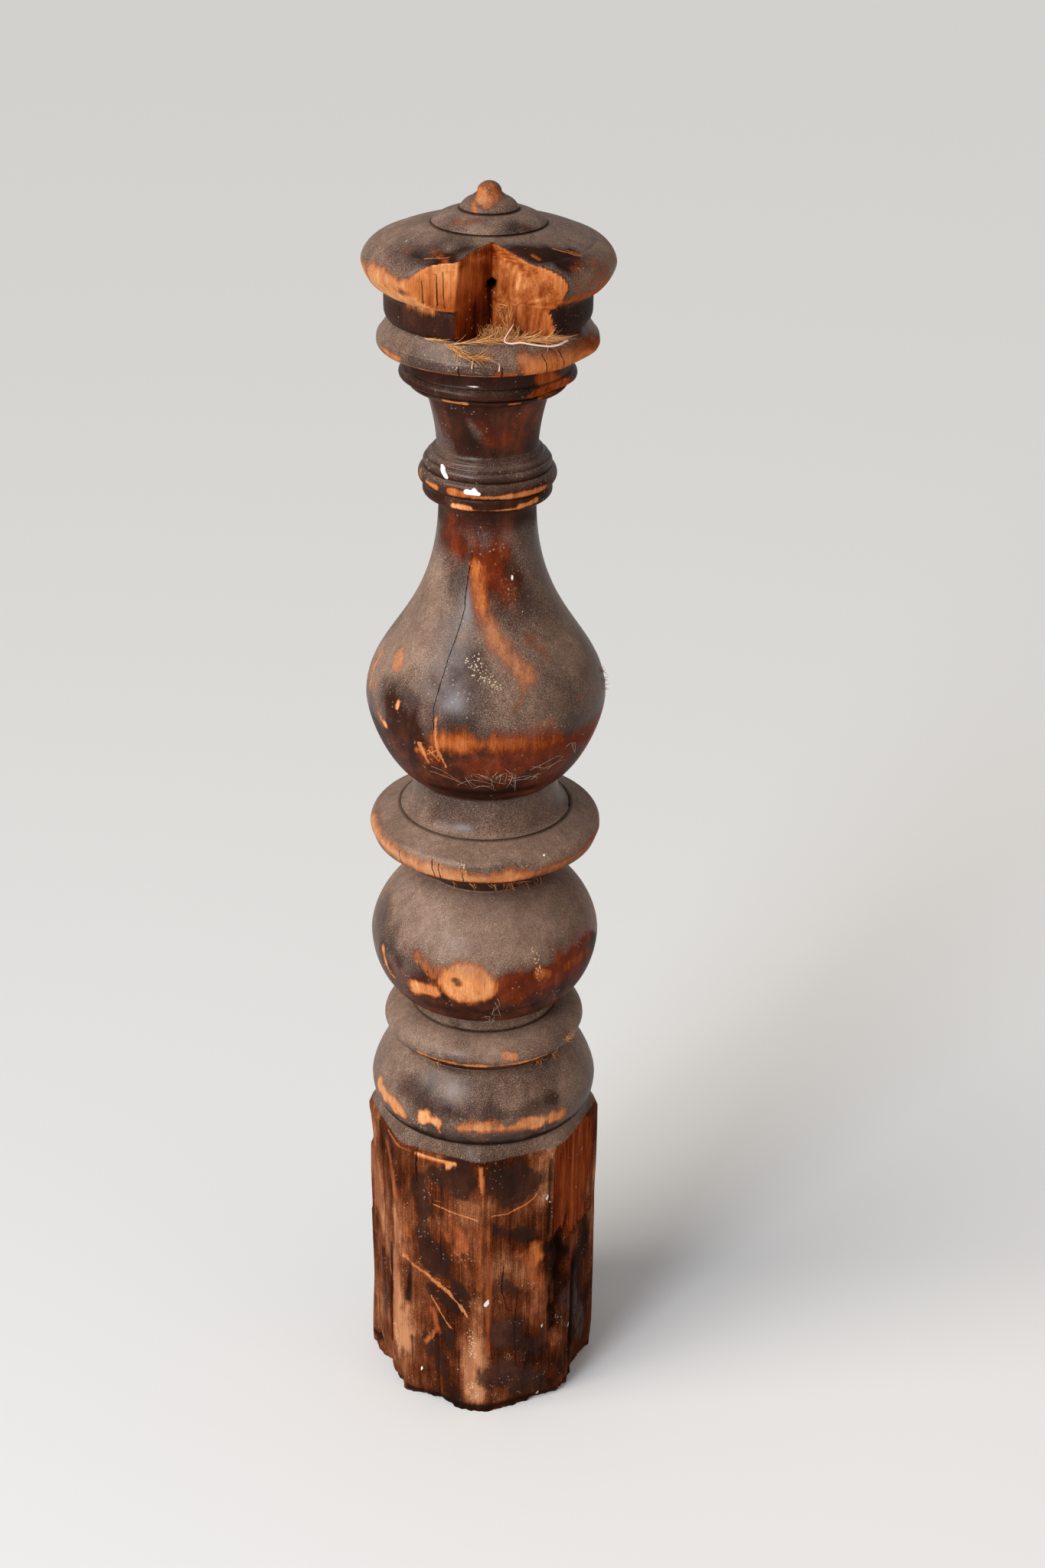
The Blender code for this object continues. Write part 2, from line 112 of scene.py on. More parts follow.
class Noise:
    """Smooth seeded noise in space, from 0 to 1."""

    def __init__(self, seed: int, size: int = 32) -> None:
        """Fill a lattice that repeats.

        Args:
            seed: Picks the random values.
            size: Number of lattice points along each side.
        """
        self.size = size
        self.values = np.random.default_rng(seed).random((size, size, size))

    def layer(self, x: Field, y: Field, z: Field) -> Field:
        """One layer of noise at points given in lattice steps."""
        total = np.zeros(np.broadcast(x, y, z).shape)
        parts = []
        for axis in (x, y, z):
            whole = np.floor(axis).astype(int)
            share = axis - whole
            parts.append((whole, share * share * (3.0 - 2.0 * share)))
        for corner in range(8):
            weight = 1.0
            index = []
            for bit, (whole, share) in enumerate(parts):
                step = (corner >> bit) & 1
                weight = weight * (share if step else 1.0 - share)
                index.append((whole + step) % self.size)
            total += weight * self.values[tuple(index)]
        return total

    def at(self, points: Field, across: float, along: float, layers: int = 1) -> Field:
        """Noise stretched along the grain.

        Args:
            points: Array of places, last axis x, y and z in metres.
            across: Lattice steps to a metre across the grain.
            along: Lattice steps to a metre along the grain.
            layers: Number of layers, each twice as fine and half as strong.

        Returns:
            The noise, from 0 to 1.
        """
        total = 0.0
        strength = 1.0
        whole = 0.0
        for layer in range(layers):
            scale = 2.0 ** layer
            total = total + strength * self.layer(
                points[..., 0] * across * scale + 7.3 * layer,
                points[..., 1] * across * scale + 3.1 * layer,
                points[..., 2] * along * scale + 5.7 * layer,
            )
            whole += strength
            strength *= 0.5
        return total / whole


class Look(Enum):
    """What a mark does to the surface that it covers."""
    BARE = "bare"
    RED = "red"
    BLACK = "black"
    DUST = "dust"
    PAINT = "paint"
    # Dirt, and painted shade in grooves, cracks, hollows and under overhangs
    GRIME_AND_SHADE = "grime"
    PALE = "pale"

    def strokes(self, *rows: Row, **shape: float) -> Iterator["Mark"]:
        """Marks of this look.

        Args:
            rows: Angle and height of both ends, then half width, strength and tone.
            shape: What all of them share.

        Yields:
            The marks.
        """
        for first, low, last, high, *rest in rows:
            yield Mark(self, (first, low), (last, high), *rest, **shape)

    def spots(self, *rows: Row, **shape: float) -> Iterator["Mark"]:
        """Round marks of this look, each by angle, height and half width."""
        for angle, height, half in rows:
            yield Mark(self, (angle, height), (angle, height), half, **shape)


@dataclass(frozen=True)
class Mark:
    """A worn, stained or spotted place, as a rounded stroke on the surface.

    Its ends are an angle in degrees and a height in millimetres, and its half width is in
    millimetres. A strength under 1 leaves it broken up, and tone says how light bare wood is.
    Ragged is how far its outline wanders, and blur how softly it fades.
    """
    look: Look
    start: Place
    end: Place
    half: float
    strength: float = 1.0
    tone: float = 0.6
    ragged: float = 0.7
    blur: float = 1.0


@dataclass(frozen=True)
class Hairline:
    """A thin line through places of angle and height, as a mark's are.

    A crack is dark with dirt and painted shade, and any other line is a scratch down to bare wood.
    Half is half its width in millimetres. Neighbours that run side by side are drawn in opposite
    directions.
    """
    path: tuple[Place, ...]
    half: float
    crack: bool = False

    @classmethod
    def each(cls, *rows: Row, crack: bool = False) -> Iterator["Hairline"]:
        """Hairlines, each by half width and then the angle and height of its places."""
        for half, *path in rows:
            yield cls(tuple(zip(path[::2], path[1::2])), half, crack)


@dataclass(frozen=True)
class Pocket:
    """A hollow, crack or chip pressed into the surface, as a rounded stroke.

    Its ends are angle and height as a mark's are. Half width and depth are in millimetres.
    """
    start: Place
    end: Place
    half: float
    depth: float
    ragged: float = 0.3

    @classmethod
    def each(cls, *rows: Row) -> Iterator["Pocket"]:
        """Pockets, each by its two ends, half width, depth and raggedness."""
        for first, low, last, high, *rest in rows:
            yield cls((first, low), (last, high), *rest)


@dataclass(frozen=True)
class Ring:
    """One ring of the skin, before it is cut and worn."""
    radius: float
    height: float
    turned: float
    dust: float
    red: float
    opened: float
    grime: float


@dataclass
class Outline:
    """Half outline of the post, laid ring by ring from the floor upwards.

    Spacing is the longest step between rings. Turned is 0 on the eight-sided foot and 1 on
    round work. Dust and red are how dusty and how red the finish is, and opened is how far
    the rail housing is cut at this level. Grime is the dirt in a groove and the painted shade
    there.
    """
    spacing: float = 0.004
    turned: float = 0.0
    dust: float = 0.5
    red: float = 0.0
    opened: float = 0.0
    grime: float = 0.0
    rings: list[Ring] = field(default_factory=list)

    def now(self, spacing: float | None = None, dust: float | None = None, red: float | None = None) -> None:
        """Change the spacing, the dust or the red for the rings that follow."""
        self.spacing = self.spacing if spacing is None else spacing
        self.dust = self.dust if dust is None else dust
        self.red = self.red if red is None else red

    @property
    def top(self) -> Ring:
        """The ring laid last."""
        return self.rings[-1]

    def ring(self, radius: float, height: float) -> None:
        """Lay one ring at an absolute height."""
        looks = (self.turned, self.dust, self.red, self.opened, self.grime)
        self.rings.append(Ring(radius, height, *looks))

    def path(self, along: Callable[[float], Place], length: float) -> None:
        """Lay rings along a curve.

        Args:
            along: Gives radius and height for a share from 0 to 1.
            length: Rough length of the curve, which sets the number of rings.
        """
        count = max(1, math.ceil(length / self.spacing))
        for step in range(1, count + 1):
            self.ring(*along(step / count))

    def line(self, radius: float, rise: float) -> None:
        """A straight stretch to a radius, this much higher."""
        start = self.top

        def along(share: float) -> Place:
            return (start.radius + (radius - start.radius) * share, start.height + rise * share)
        self.path(along, math.hypot(radius - start.radius, rise))

    def quarter(self, radius: float, rise: float, leaves_level: bool, fullness: float) -> None:
        """A quarter of a round. Fullness 2 is an ellipse and 1 a straight line."""
        start = self.top

        def along(share: float) -> Place:
            turn = 0.5 * math.pi * share
            leading = abs(math.sin(turn)) ** (2.0 / fullness)
            trailing = 1.0 - abs(math.cos(turn)) ** (2.0 / fullness)
            across, up = (leading, trailing) if leaves_level else (trailing, leading)
            return (start.radius + (radius - start.radius) * across, start.height + rise * up)
        self.path(along, 1.15 * math.hypot(radius - start.radius, rise))

    def swell(self, radius: float, rise: float, fullness: float = 2.0) -> None:
        """A round that leaves the axis sideways and ends upright."""
        self.quarter(radius, rise, True, fullness)

    def close(self, radius: float, rise: float, fullness: float = 2.0) -> None:
        """A round that leaves upright and ends sideways."""
        self.quarter(radius, rise, False, fullness)

    def groove(self, radius: float, grime: float = 1.0, size: float = 0.0008, depth: float = 0.0022) -> None:
        """A scored V whose far side starts at a radius, with dirt and painted shade in it."""
        start = self.top
        self.rings[-1] = replace(start, grime=0.6 * grime)
        self.grime = grime
        self.ring(min(radius, start.radius) - depth, start.height + 0.5 * size)
        self.grime = 0.6 * grime
        self.ring(radius, start.height + size)
        self.grime = 0.0

    def bead(self, crest: float, end_radius: float, height: float) -> None:
        """A half-round ring between two grooves."""
        self.swell(crest, 0.5 * height)
        self.close(end_radius, 0.5 * height)
        # The bead's last ring carries grime: dirt and painted shade where it meets the groove
        self.rings[-1] = replace(self.rings[-1], grime=0.75)

    def curve(self, first: Place, second: Place, end: Place) -> None:
        """A cubic curve from the last ring, steered by two handles."""
        start = (self.top.radius, self.top.height)

        def along(t: float) -> Place:
            weights = ((1 - t) ** 3, 3 * t * (1 - t) ** 2, 3 * t * t * (1 - t), t ** 3)
            corners = (start, first, second, end)
            return tuple(sum(weight * corner[axis] for weight, corner in zip(weights, corners))
                         for axis in range(2))
        self.path(along, math.dist(start, end))


class SubPart:
    """A stretch of the post, with its marks, hollows and hairlines."""

    def marks(self) -> Iterator[Mark]:
        """Worn, stained and spotted places."""
        yield from ()

    def pockets(self) -> Iterator[Pocket]:
        """Hollows and chips."""
        yield from ()

    def hairlines(self) -> Iterator[Hairline]:
        """Thin cracks and scratches."""
        yield from ()


@dataclass
class FootBlock(SubPart):
    """The eight-sided foot and its sloping shoulder."""
    sides: int = 8
    corner_radius: float = 0.0976
    corner_wear: float = 0.0012
    height: float = 0.2515
    edge_wear: float = 0.0045
    edge_inset: float = 0.0018
    shoulder_rings: int = 8
    shoulder_rise: float = 0.0125
    shoulder_top: float = 0.0850

    def lay(self, outline: Outline) -> None:
        """Lay the foot's rings. Their radius stands for the distance that corners reach."""
        outline.turned, outline.dust, outline.red = 0.0, 0.30, 0.0
        outline.now(0.0053)
        outline.ring(self.corner_radius, 0.0)
        outline.line(self.corner_radius, self.height)
        outline.now(0.0016)
        outline.line(self.corner_radius - self.edge_inset, self.edge_wear)
        start = outline.top
        for step in range(1, self.shoulder_rings + 1):
            share = step / self.shoulder_rings
            outline.turned = share
            radius = start.radius + (self.shoulder_top - start.radius) * share
            outline.ring(radius, start.height + self.shoulder_rise * share)
        outline.turned = 1.0

    def across(self, angle: Field, reach: Field) -> Field:
        """Distance from the axis to the foot's side.

        Args:
            angle: Angles in radians.
            reach: How far the unworn corners reach at each ring.

        Returns:
            The distance at each ring and angle, corners a little worn.
        """
        side = 2.0 * math.pi / self.sides
        off_flat = (angle % side) - 0.5 * side
        flat = reach * math.cos(0.5 * side) / np.cos(off_flat)
        return soft_min(flat, reach - self.corner_wear + 0.0 * angle, 2.4 * MM)

    def marks(self) -> Iterator[Mark]:
        """The remains of finish, the bare strips and the spots on the foot."""
        yield from Look.BARE.strokes(
            (-126, 252, -106, 251, 1.8, 1, 0.86), (-108, 247, -104, 251, 2.2, 1, 0.92),
            (-150, 254, -128, 253, 1.2, 0.8, 0.6), (-90, 252, -89, 212, 3, 0.9, 0.7),
            (-90, 210, -91, 130, 2.4, 0.6, 0.56), (-112, 186, -98, 152, 2.6, 0.6, 0.6),
            (-138, 176, -140, 120, 6, 0.66, 0.62), (-139, 132, -141, 50, 5.5, 0.74, 0.8),
            (-134, 154, -130, 142, 3, 0.9, 0.66), (-117, 100, -113, 76, 3.4, 0.66, 0.6),
            (-114, 78, -121, 61, 2.6, 0.72, 0.6), (-46, 250, -44, 176, 6, 0.74, 0.42),
            (-36, 244, -37, 190, 3, 0.7, 0.56), (-72, 160, -62, 150, 4, 0.7, 0.6),
            (-62, 158, -60, 96, 9, 0.7, 0.66), (-174, 236, -168, 160, 12, 0.72, 0.5),
            (-150, 240, -138, 196, 9, 0.76, 0.5), (-134, 196, -130, 166, 4, 0.8, 0.56),
            (-95, 80, -95, 18, 4, 0.6, 0.66), (-107, 200, -100, 172, 7, 0.66, 0.52),
            (-86, 196, -86, 60, 3, 0.62, 0.5),
        )
        yield from Look.BLACK.strokes(
            (-104, 240, -99, 232, 15, 1), (-116, 236, -106, 246, 8, 0.8), (-122, 226, -121, 196, 7, 1),
            (-122, 178, -119, 156, 6.5, 1), (-116, 152, -104, 132, 9, 1), (-101, 130, -97, 120, 5, 0.9),
            (-117, 118, -98, 108, 5, 0.9), (-80, 236, -70, 234, 17, 1), (-78, 214, -72, 218, 9, 0.9),
            (-110, 90, -105, 64, 5, 0.7), (-82, 190, -64, 180, 7, 0.62), (-160, 120, -156, 60, 5, 0.75),
            (-150, 252, -146, 244, 4, 0.8), (-80, 84, -56, 60, 15, 0.66), (-82, 40, -60, 22, 15, 0.7),
            (-118, 62, -104, 18, 11, 0.6), (-80, 130, -66, 118, 8, 0.5), (-42, 236, -30, 214, 9, 0.6),
            (-36, 100, -18, 40, 13, 0.6),
            ragged=1,
        )
        yield from Look.DUST.strokes(
            (-172, 230, -160, 150, 16, 0.35), (-140, 180, -136, 60, 10, 0.5), (-92, 110, -94, 20, 9, 0.45),
            (-70, 150, -58, 100, 12, 0.25), (-84, 80, -54, 30, 24, -0.3), (-48, 140, -20, 30, 26, -0.3),
            (-112, 60, -104, 10, 12, -0.15), (-172, 60, -150, 20, 20, 0.1), (-40, 236, -14, 180, 26, 0.5),
            (-94, 70, -94, 20, 9, 0.3),
        )
        yield from Look.PAINT.spots(
            (-86, 118, 1.9), (-87, 115, 2), (-68, 66, 1.7), (-67, 69, 1.3), (-119, 165, 1.4),
            (-123, 32, 1.3), (-58, 81, 1.2), (-56, 79, 1.3), (-75, 56, 1.2), (-80, 28, 1.1), (-58, 18, 1.1),
            (-57, 6, 1.6), (-36, 62, 1.6), (-94, 60, 1.2), (-54, 210, 1.3), (-52, 204, 1), (-26, 192, 1.8),
            (-40, 66, 1.2),
            strength=0.92,
        )
        # Grime: dirt, and painted shade in the rot, the cracks and the chips
        yield from Look.GRIME_AND_SHADE.strokes(
            (-45, 150, -46, 112, 9.5), (-52, 160, -40, 142, 6), (-51, 96, -50, 74, 5),
            (-129, 66, -128, 30, 0.8), (-130, 138, -131, 100, 4), (-28, 192, -40, 184, 1.6),
            (-40, 186, -41, 163, 2.4), (-52, 246, -53, 172, 1.4), (-178, 10, -140, 3, 6),
            (-138, 4, -20, 4, 4), (-160, 230, -158, 120, 1.5), (-148, 140, -147, 40, 2),
            (-32, 120, -34, 20, 4), (-16, 246, -15, 130, 9),
            strength=0.95,
        )
        yield from Look.PALE.strokes(
            (-95, 85, -93, 62, 4, 0.78), (-104, 46, -101, 38, 3.5, 0.8), (-94, 28, -93, 14, 4.5, 0.8),
            (-166, 71, -152, 69, 0.8, 0.95), (-142, 60, -138, 44, 5, 0.76), (-84, 60, -66, 50, 8, 0.42),
            (-160, 150, -156, 90, 6, 0.42), (-48, 80, -36, 60, 6, 0.5), (-56, 212, -50, 190, 4, 0.5),
        )

    def hairlines(self) -> Iterator[Hairline]:
        """Pale scratches across the finish, and the checks in the wood."""
        yield from Hairline.each(
            (2.2, -133, 144, -124, 137, -115, 128, -107, 121, -101, 110, -97, 99),
            (0.9, -115, 206, -106, 203, -98, 202, -92, 201),
            (1, -84, 204, -76, 203, -70, 206, -63, 211, -60, 217), (1.2, -117, 112, -112, 98, -106, 84),
            (0.9, -150, 120, -146, 96, -148, 70),
        )
        yield from Hairline.each(
            (0.9, -113, 74, -113, 40, -113, 4), (0.7, -125, 256, -126, 240, -125, 226),
            (0.5, -111, 150, -112, 190, -111, 224), (0.6, -101, 62, -101, 10),
            (0.6, -70, 120, -72, 84, -70, 40), (0.7, -78, 150, -79, 128, -76, 104),
            crack=True,
        )

    def pockets(self) -> Iterator[Pocket]:
        """The rot, the cracks, the chips and the eaten lower edge."""
        yield from Pocket.each(
            (-44, 158, -46, 96, 12.5, 10.5, 0.75), (-38, 172, -42, 150, 5, 4.5, 0.6),
            (-47, 96, -50, 60, 6, 4, 0.75), (-32, 130, -34, 30, 4, 3, 0.6), (-131, 138, -131, 98, 4.4, 3.2),
            (-146, 170, -147, 40, 3, 2, 0.6), (-160, 240, -158, 110, 3, 1.8, 0.6),
            (-126, 256, -125, 230, 1.5, 1.8, 0.1), (-114, 76, -113, 0, 1.6, 2.2, 0.1),
            (-129, 68, -128, 30, 1.3, 1.2, 0.1), (-53, 250, -53, 174, 1.8, 2),
            (-28, 194, -41, 162, 3.2, 2.4), (-180, 238, -178, 218, 8, 3.6), (176, 180, 178, 150, 7, 3),
            (-174, 120, -172, 100, 5, 2.4), (-172, 14, -158, 0, 10, 7, 0.5), (-152, 6, -140, 0, 7, 5, 0.5),
            (-128, 0, -106, 0, 3.5, 3.5, 0.6), (-60, 0, -40, 2, 4.5, 3.5, 0.6), (-20, 0, -4, 0, 4, 3, 0.6),
            (70, 6, 74, 0, 8, 4), (128, 120, 129, 40, 2, 2.4), (24, 210, 25, 150, 1.8, 2, 0.2),
        )


@dataclass
class FootMouldings(SubPart):
    """The torus, the low disc and the flattened ball."""
    torus_radius: float = 0.0922
    torus_lower: float = 0.0190
    torus_upper: float = 0.0410
    torus_top: float = 0.0680
    disc_lip: float = 0.0100
    disc_edge: float = 0.0795
    disc_radius: float = 0.0813
    disc_edge_height: float = 0.0050
    disc_dome: float = 0.0152
    disc_top: float = 0.0588
    fillet_radius: float = 0.0596
    fillet_height: float = 0.0110
    ball_foot: float = 0.0575
    ball_radius: float = 0.0912
    ball_lower: float = 0.0525
    ball_upper: float = 0.0560
    ball_top: float = 0.0450

    def lay(self, outline: Outline) -> None:
        """Lay the rings from the shoulder to the top of the ball."""
        outline.now(0.0030, 0.30, 0.3)
        outline.swell(self.torus_radius, self.torus_lower)
        outline.now(dust=0.56, red=0.1)
        outline.close(self.torus_top, self.torus_upper, 1.4)
        outline.now(0.0028, 0.3)
        outline.line(self.disc_edge, self.disc_lip)
        outline.now(0.0018, 0.70)
        outline.line(self.disc_radius, self.disc_edge_height)
        outline.now(0.0028)
        outline.close(self.disc_top, self.disc_dome)
        outline.now(dust=0.6)
        outline.groove(self.fillet_radius)
        outline.line(self.fillet_radius, self.fillet_height)
        outline.now(dust=0.28, red=0.45)
        outline.groove(self.ball_foot)
        outline.now(0.0036)
        outline.swell(self.ball_radius, self.ball_lower, 1.85)
        outline.now(dust=0.68, red=0.1)
        outline.close(self.ball_top, self.ball_upper, 1.7)

    def marks(self) -> Iterator[Mark]:
        """The worn patches of the torus, the low disc and the ball."""
        yield from Look.BARE.strokes(
            (-158, 292, -146, 288, 5, 0.92, 0.96), (-146, 288, -134, 284, 4.6, 0.92, 0.88),
            (-120, 289, -113, 288, 5, 1, 0.96), (-113, 286, -111, 279, 2.4, 0.9, 0.88),
            (-103, 288, -92, 288, 4.8, 0.88, 0.78), (-98, 290, -72, 288, 6, 0.78, 0.84),
            (-72, 289, -46, 286, 5, 0.8, 0.88), (-76, 348, -71, 347, 3, 0.8, 0.84),
            (-130, 341, -100, 340, 1.2, 0.8, 0.8), (-100, 340, -50, 340, 1.3, 0.85, 0.84),
            (-91, 412, -90, 406, 6, 0.92, 0.84), (-134, 412, -128, 410, 7, 0.98, 0.94),
            (-128, 410, -116, 408, 5, 0.8, 0.82), (-151, 425, -149, 414, 3.6, 0.88, 0.92),
            (-148, 408, -142, 404, 3, 0.8, 0.88), (-138, 443, -126, 436, 4.6, 0.58, 0.66),
            (-126, 436, -116, 429, 5, 0.6, 0.66), (-60, 427, -55, 424, 6, 0.7, 0.6),
            (-74, 410, -66, 406, 5, 0.5, 0.44), (-44, 422, -24, 424, 5, 0.6, 0.56),
            ragged=1.2,
        )
        yield from Look.BARE.strokes((-98, 423, -94, 421, 19, 1.3, 0.84), ragged=0.2, blur=0.5)
        yield from Look.RED.strokes((-80, 416, -34, 428, 15, 1), (-34, 432, 0, 442, 12, 0.8))
        yield from Look.DUST.strokes(
            (-165, 446, -138, 430, 15, -0.45), (-118, 420, -80, 410, 16, -0.3),
            (-80, 412, -20, 424, 16, -0.9), (-120, 460, -70, 456, 22, 0.1),
            (-134, 306, -108, 302, 9, -0.42), (-104, 298, -50, 301, 6, -0.35),
            (-110, 362, -100, 352, 6, -0.3), (-112, 328, -50, 322, 15, -0.3), (-62, 350, -40, 352, 9, -0.2),
        )
        # Grime: dirt, and painted shade under the torus and under the ball's bulge
        yield from Look.GRIME_AND_SHADE.strokes(
            (-120, 394, -60, 394, 5, 0.6), (-150, 272, -30, 272, 4, 0.9), (-128, 277, -50, 280, 3, 0.55),
        )
        yield from Look.GRIME_AND_SHADE.strokes(
            (-90, 430, -87, 429, 2.4), (-104, 425, -102, 423, 2.2),
            strength=0.75, ragged=1.2,
        )
        yield from Look.PALE.strokes((-62, 446, -60, 424, 4, 0.62), (-132, 290, -118, 276, 5, 0.5))


@dataclass
class Vase(SubPart):
    """The middle disc, the cove, the bulb and the vase's slender neck."""
    disc_lip: float = 0.0315
    disc_edge: float = 0.0873
    disc_radius: float = 0.0909
    disc_edge_height: float = 0.0085
    disc_round: float = 0.0850
    disc_round_height: float = 0.0100
    cone_height: float = 0.0070
    cone_top: float = 0.0682
    cove_foot: float = 0.0668
    cove_height: float = 0.0295
    cove_top: float = 0.0560
    bulb_radius: float = 0.0923
    bulb_lower: float = 0.0655
    bulb_handle: float = 0.0490
    height: float = 0.1585
    neck_handle: float = 0.0960
    neck_radius: float = 0.0368

    def lay(self, outline: Outline) -> None:
        """Lay the rings from the middle disc to the foot of the collar."""
        outline.now(0.0034, 0.25, 0.2)
        outline.line(self.disc_edge, self.disc_lip)
        outline.now(0.0017, 0.72)
        outline.line(self.disc_radius, self.disc_edge_height)
        outline.close(self.disc_round, self.disc_round_height)
        outline.now(0.0028)
        outline.line(self.cone_top, self.cone_height)
        outline.groove(self.cove_foot)
        outline.now(dust=0.44, red=0.0)
        outline.swell(self.cove_top, self.cove_height)
        outline.now(0.0039, 0.20, 0.40)
        outline.swell(self.bulb_radius, self.bulb_lower, 1.5)
        outline.now(dust=0.46, red=0.2)
        low = outline.top
        end = (self.neck_radius, low.height + self.height)
        first = (low.radius, low.height + self.bulb_handle)
        outline.curve(first, (end[0], end[1] - self.neck_handle), end)

    def marks(self) -> Iterator[Mark]:
        """The worn band of the bulb, the long streak, the orange rim and the spots."""
        yield from Look.BARE.strokes(
            (-102, 749, -100, 739, 7, 0.86, 0.66), (-100, 739, -96, 729, 7.6, 0.86, 0.64),
            (-96, 729, -90, 714, 8, 0.86, 0.66), (-90, 714, -81, 700, 8, 0.86, 0.7),
            (-81, 700, -72, 687, 8.6, 0.86, 0.74), (-72, 687, -66, 675, 9.4, 0.86, 0.74),
            ragged=0.35, blur=1.5,
        )
        yield from Look.BARE.strokes(
            (-66, 672, -76, 654, 8, 0.56, 0.6), (-60, 696, -46, 684, 6, 0.52, 0.6),
            (-52, 662, -38, 650, 5, 0.66, 0.72), (-124, 618, -116, 620, 6, 0.66, 0.72),
            (-170, 668, -166, 640, 6, 0.74, 1), (-160, 654, -154, 642, 4.2, 0.74, 1),
            (-151, 632, -144, 626, 4, 0.85, 0.98), (-136, 651, -136, 646, 2.8, 0.9, 0.98),
            (-150, 680, -146, 673, 3.8, 0.68, 0.96), (-120, 706, -117, 702, 3.4, 0.8, 0.88),
            (-126, 600, -104, 594, 5, 0.5, 0.6),
            ragged=1.5,
        )
        yield from Look.BARE.strokes(
            (-111, 628, -100, 630, 11, 0.95, 0.6), (-100, 631, -72, 631, 9.6, 0.88, 0.52),
            (-72, 629, -50, 625, 11, 0.74, 0.42), (-50, 623, -28, 615, 12, 0.62, 0.34),
            (-172, 524, -140, 520, 8.4, 0.96, 0.96), (-140, 520, -122, 517, 8.4, 1, 0.92),
            (-122, 517, -98, 515, 8, 1.1, 0.88), (-98, 515, -78, 515, 7.6, 1.1, 0.84),
            (-78, 515, -58, 516, 6.2, 0.95, 0.72), (-58, 516, -30, 518, 5.6, 0.9, 0.6),
            (-30, 519, 0, 520, 4.6, 0.9, 0.54), (0, 520, 180, 520, 3, 0.85, 0.6),
            ragged=0.35, blur=1.5,
        )
        yield from Look.RED.strokes(
            (-114, 764, -80, 768, 20, 0.7), (-92, 752, -74, 738, 12, 0.8),
            blur=1.8,
        )
        yield from Look.RED.strokes((-70, 622, -10, 612, 20, 1), (-120, 612, -60, 606, 12, 0.8))
        yield from Look.DUST.strokes(
            (-148, 656, -130, 636, 14, -0.5), (-132, 622, -122, 600, 12, -0.5),
            (-145, 720, -168, 662, 22, 0.62), (-172, 676, -150, 634, 9, 0.25), (-84, 706, -66, 674, 9, 0.3),
            (-136, 760, -128, 740, 10, -0.2), (-122, 730, -108, 680, 18, -0.22),
            (-180, 786, 0, 786, 22, -0.3), (-78, 752, -62, 706, 15, -0.4), (-56, 700, -30, 684, 14, 0.3),
            (-107, 676, -104, 650, 16, -0.3), (-130, 556, -112, 548, 10, -0.12),
            (-160, 538, -80, 532, 10, 0.05), (-98, 524, -70, 524, 6, -0.35),
        )
        yield from Look.PAINT.spots(
            (-63, 741, 1), (-58, 716, 1.1), (-56, 705, 0.9), (-54, 520.5, 1), (-58, 529, 1.3),
            strength=0.9,
        )
        # Grime: dirt, and painted shade under the bulb
        yield from Look.GRIME_AND_SHADE.strokes((-142, 531, -138, 532, 4, 0.35), (-125, 580, -60, 580, 4, 0.8))
        yield from Look.PALE.strokes(
            (-98, 688, -90, 676, 7, 0.74), (-106, 668, -96, 664, 6, 0.52), (-92, 676, -80, 670, 5, 0.66),
            (-60, 640, -30, 640, 12, 0.4), (-104, 528, -98, 524, 4, 0.66), (-60, 740, -50, 700, 12, 0.38),
            (-118, 604, -60, 596, 8, 0.42),
        )

    def hairlines(self) -> Iterator[Hairline]:
        """The long crack down the bulb, the cuts through its band and the checks in the rim."""
        yield from Hairline.each(
            (1.3, -113, 647, -113, 630, -112, 620, -109, 608), (1.8, -122, 624, -121, 614, -119, 607),
            (0.8, -117, 619, -110, 606),
        )
        yield from Hairline.each(
            (0.55, -107, 750, -108, 741, -109, 734, -108, 722),
            (0.4, -108, 720, -111, 702, -113, 688, -114, 671), (0.45, -114, 671, -115, 655, -114, 640),
            (0.5, -116, 526, -115, 511), (0.6, -112, 511, -112, 524), (0.5, -100, 520, -100, 511),
            (0.4, -136, 524, -136, 514),
            crack=True,
        )


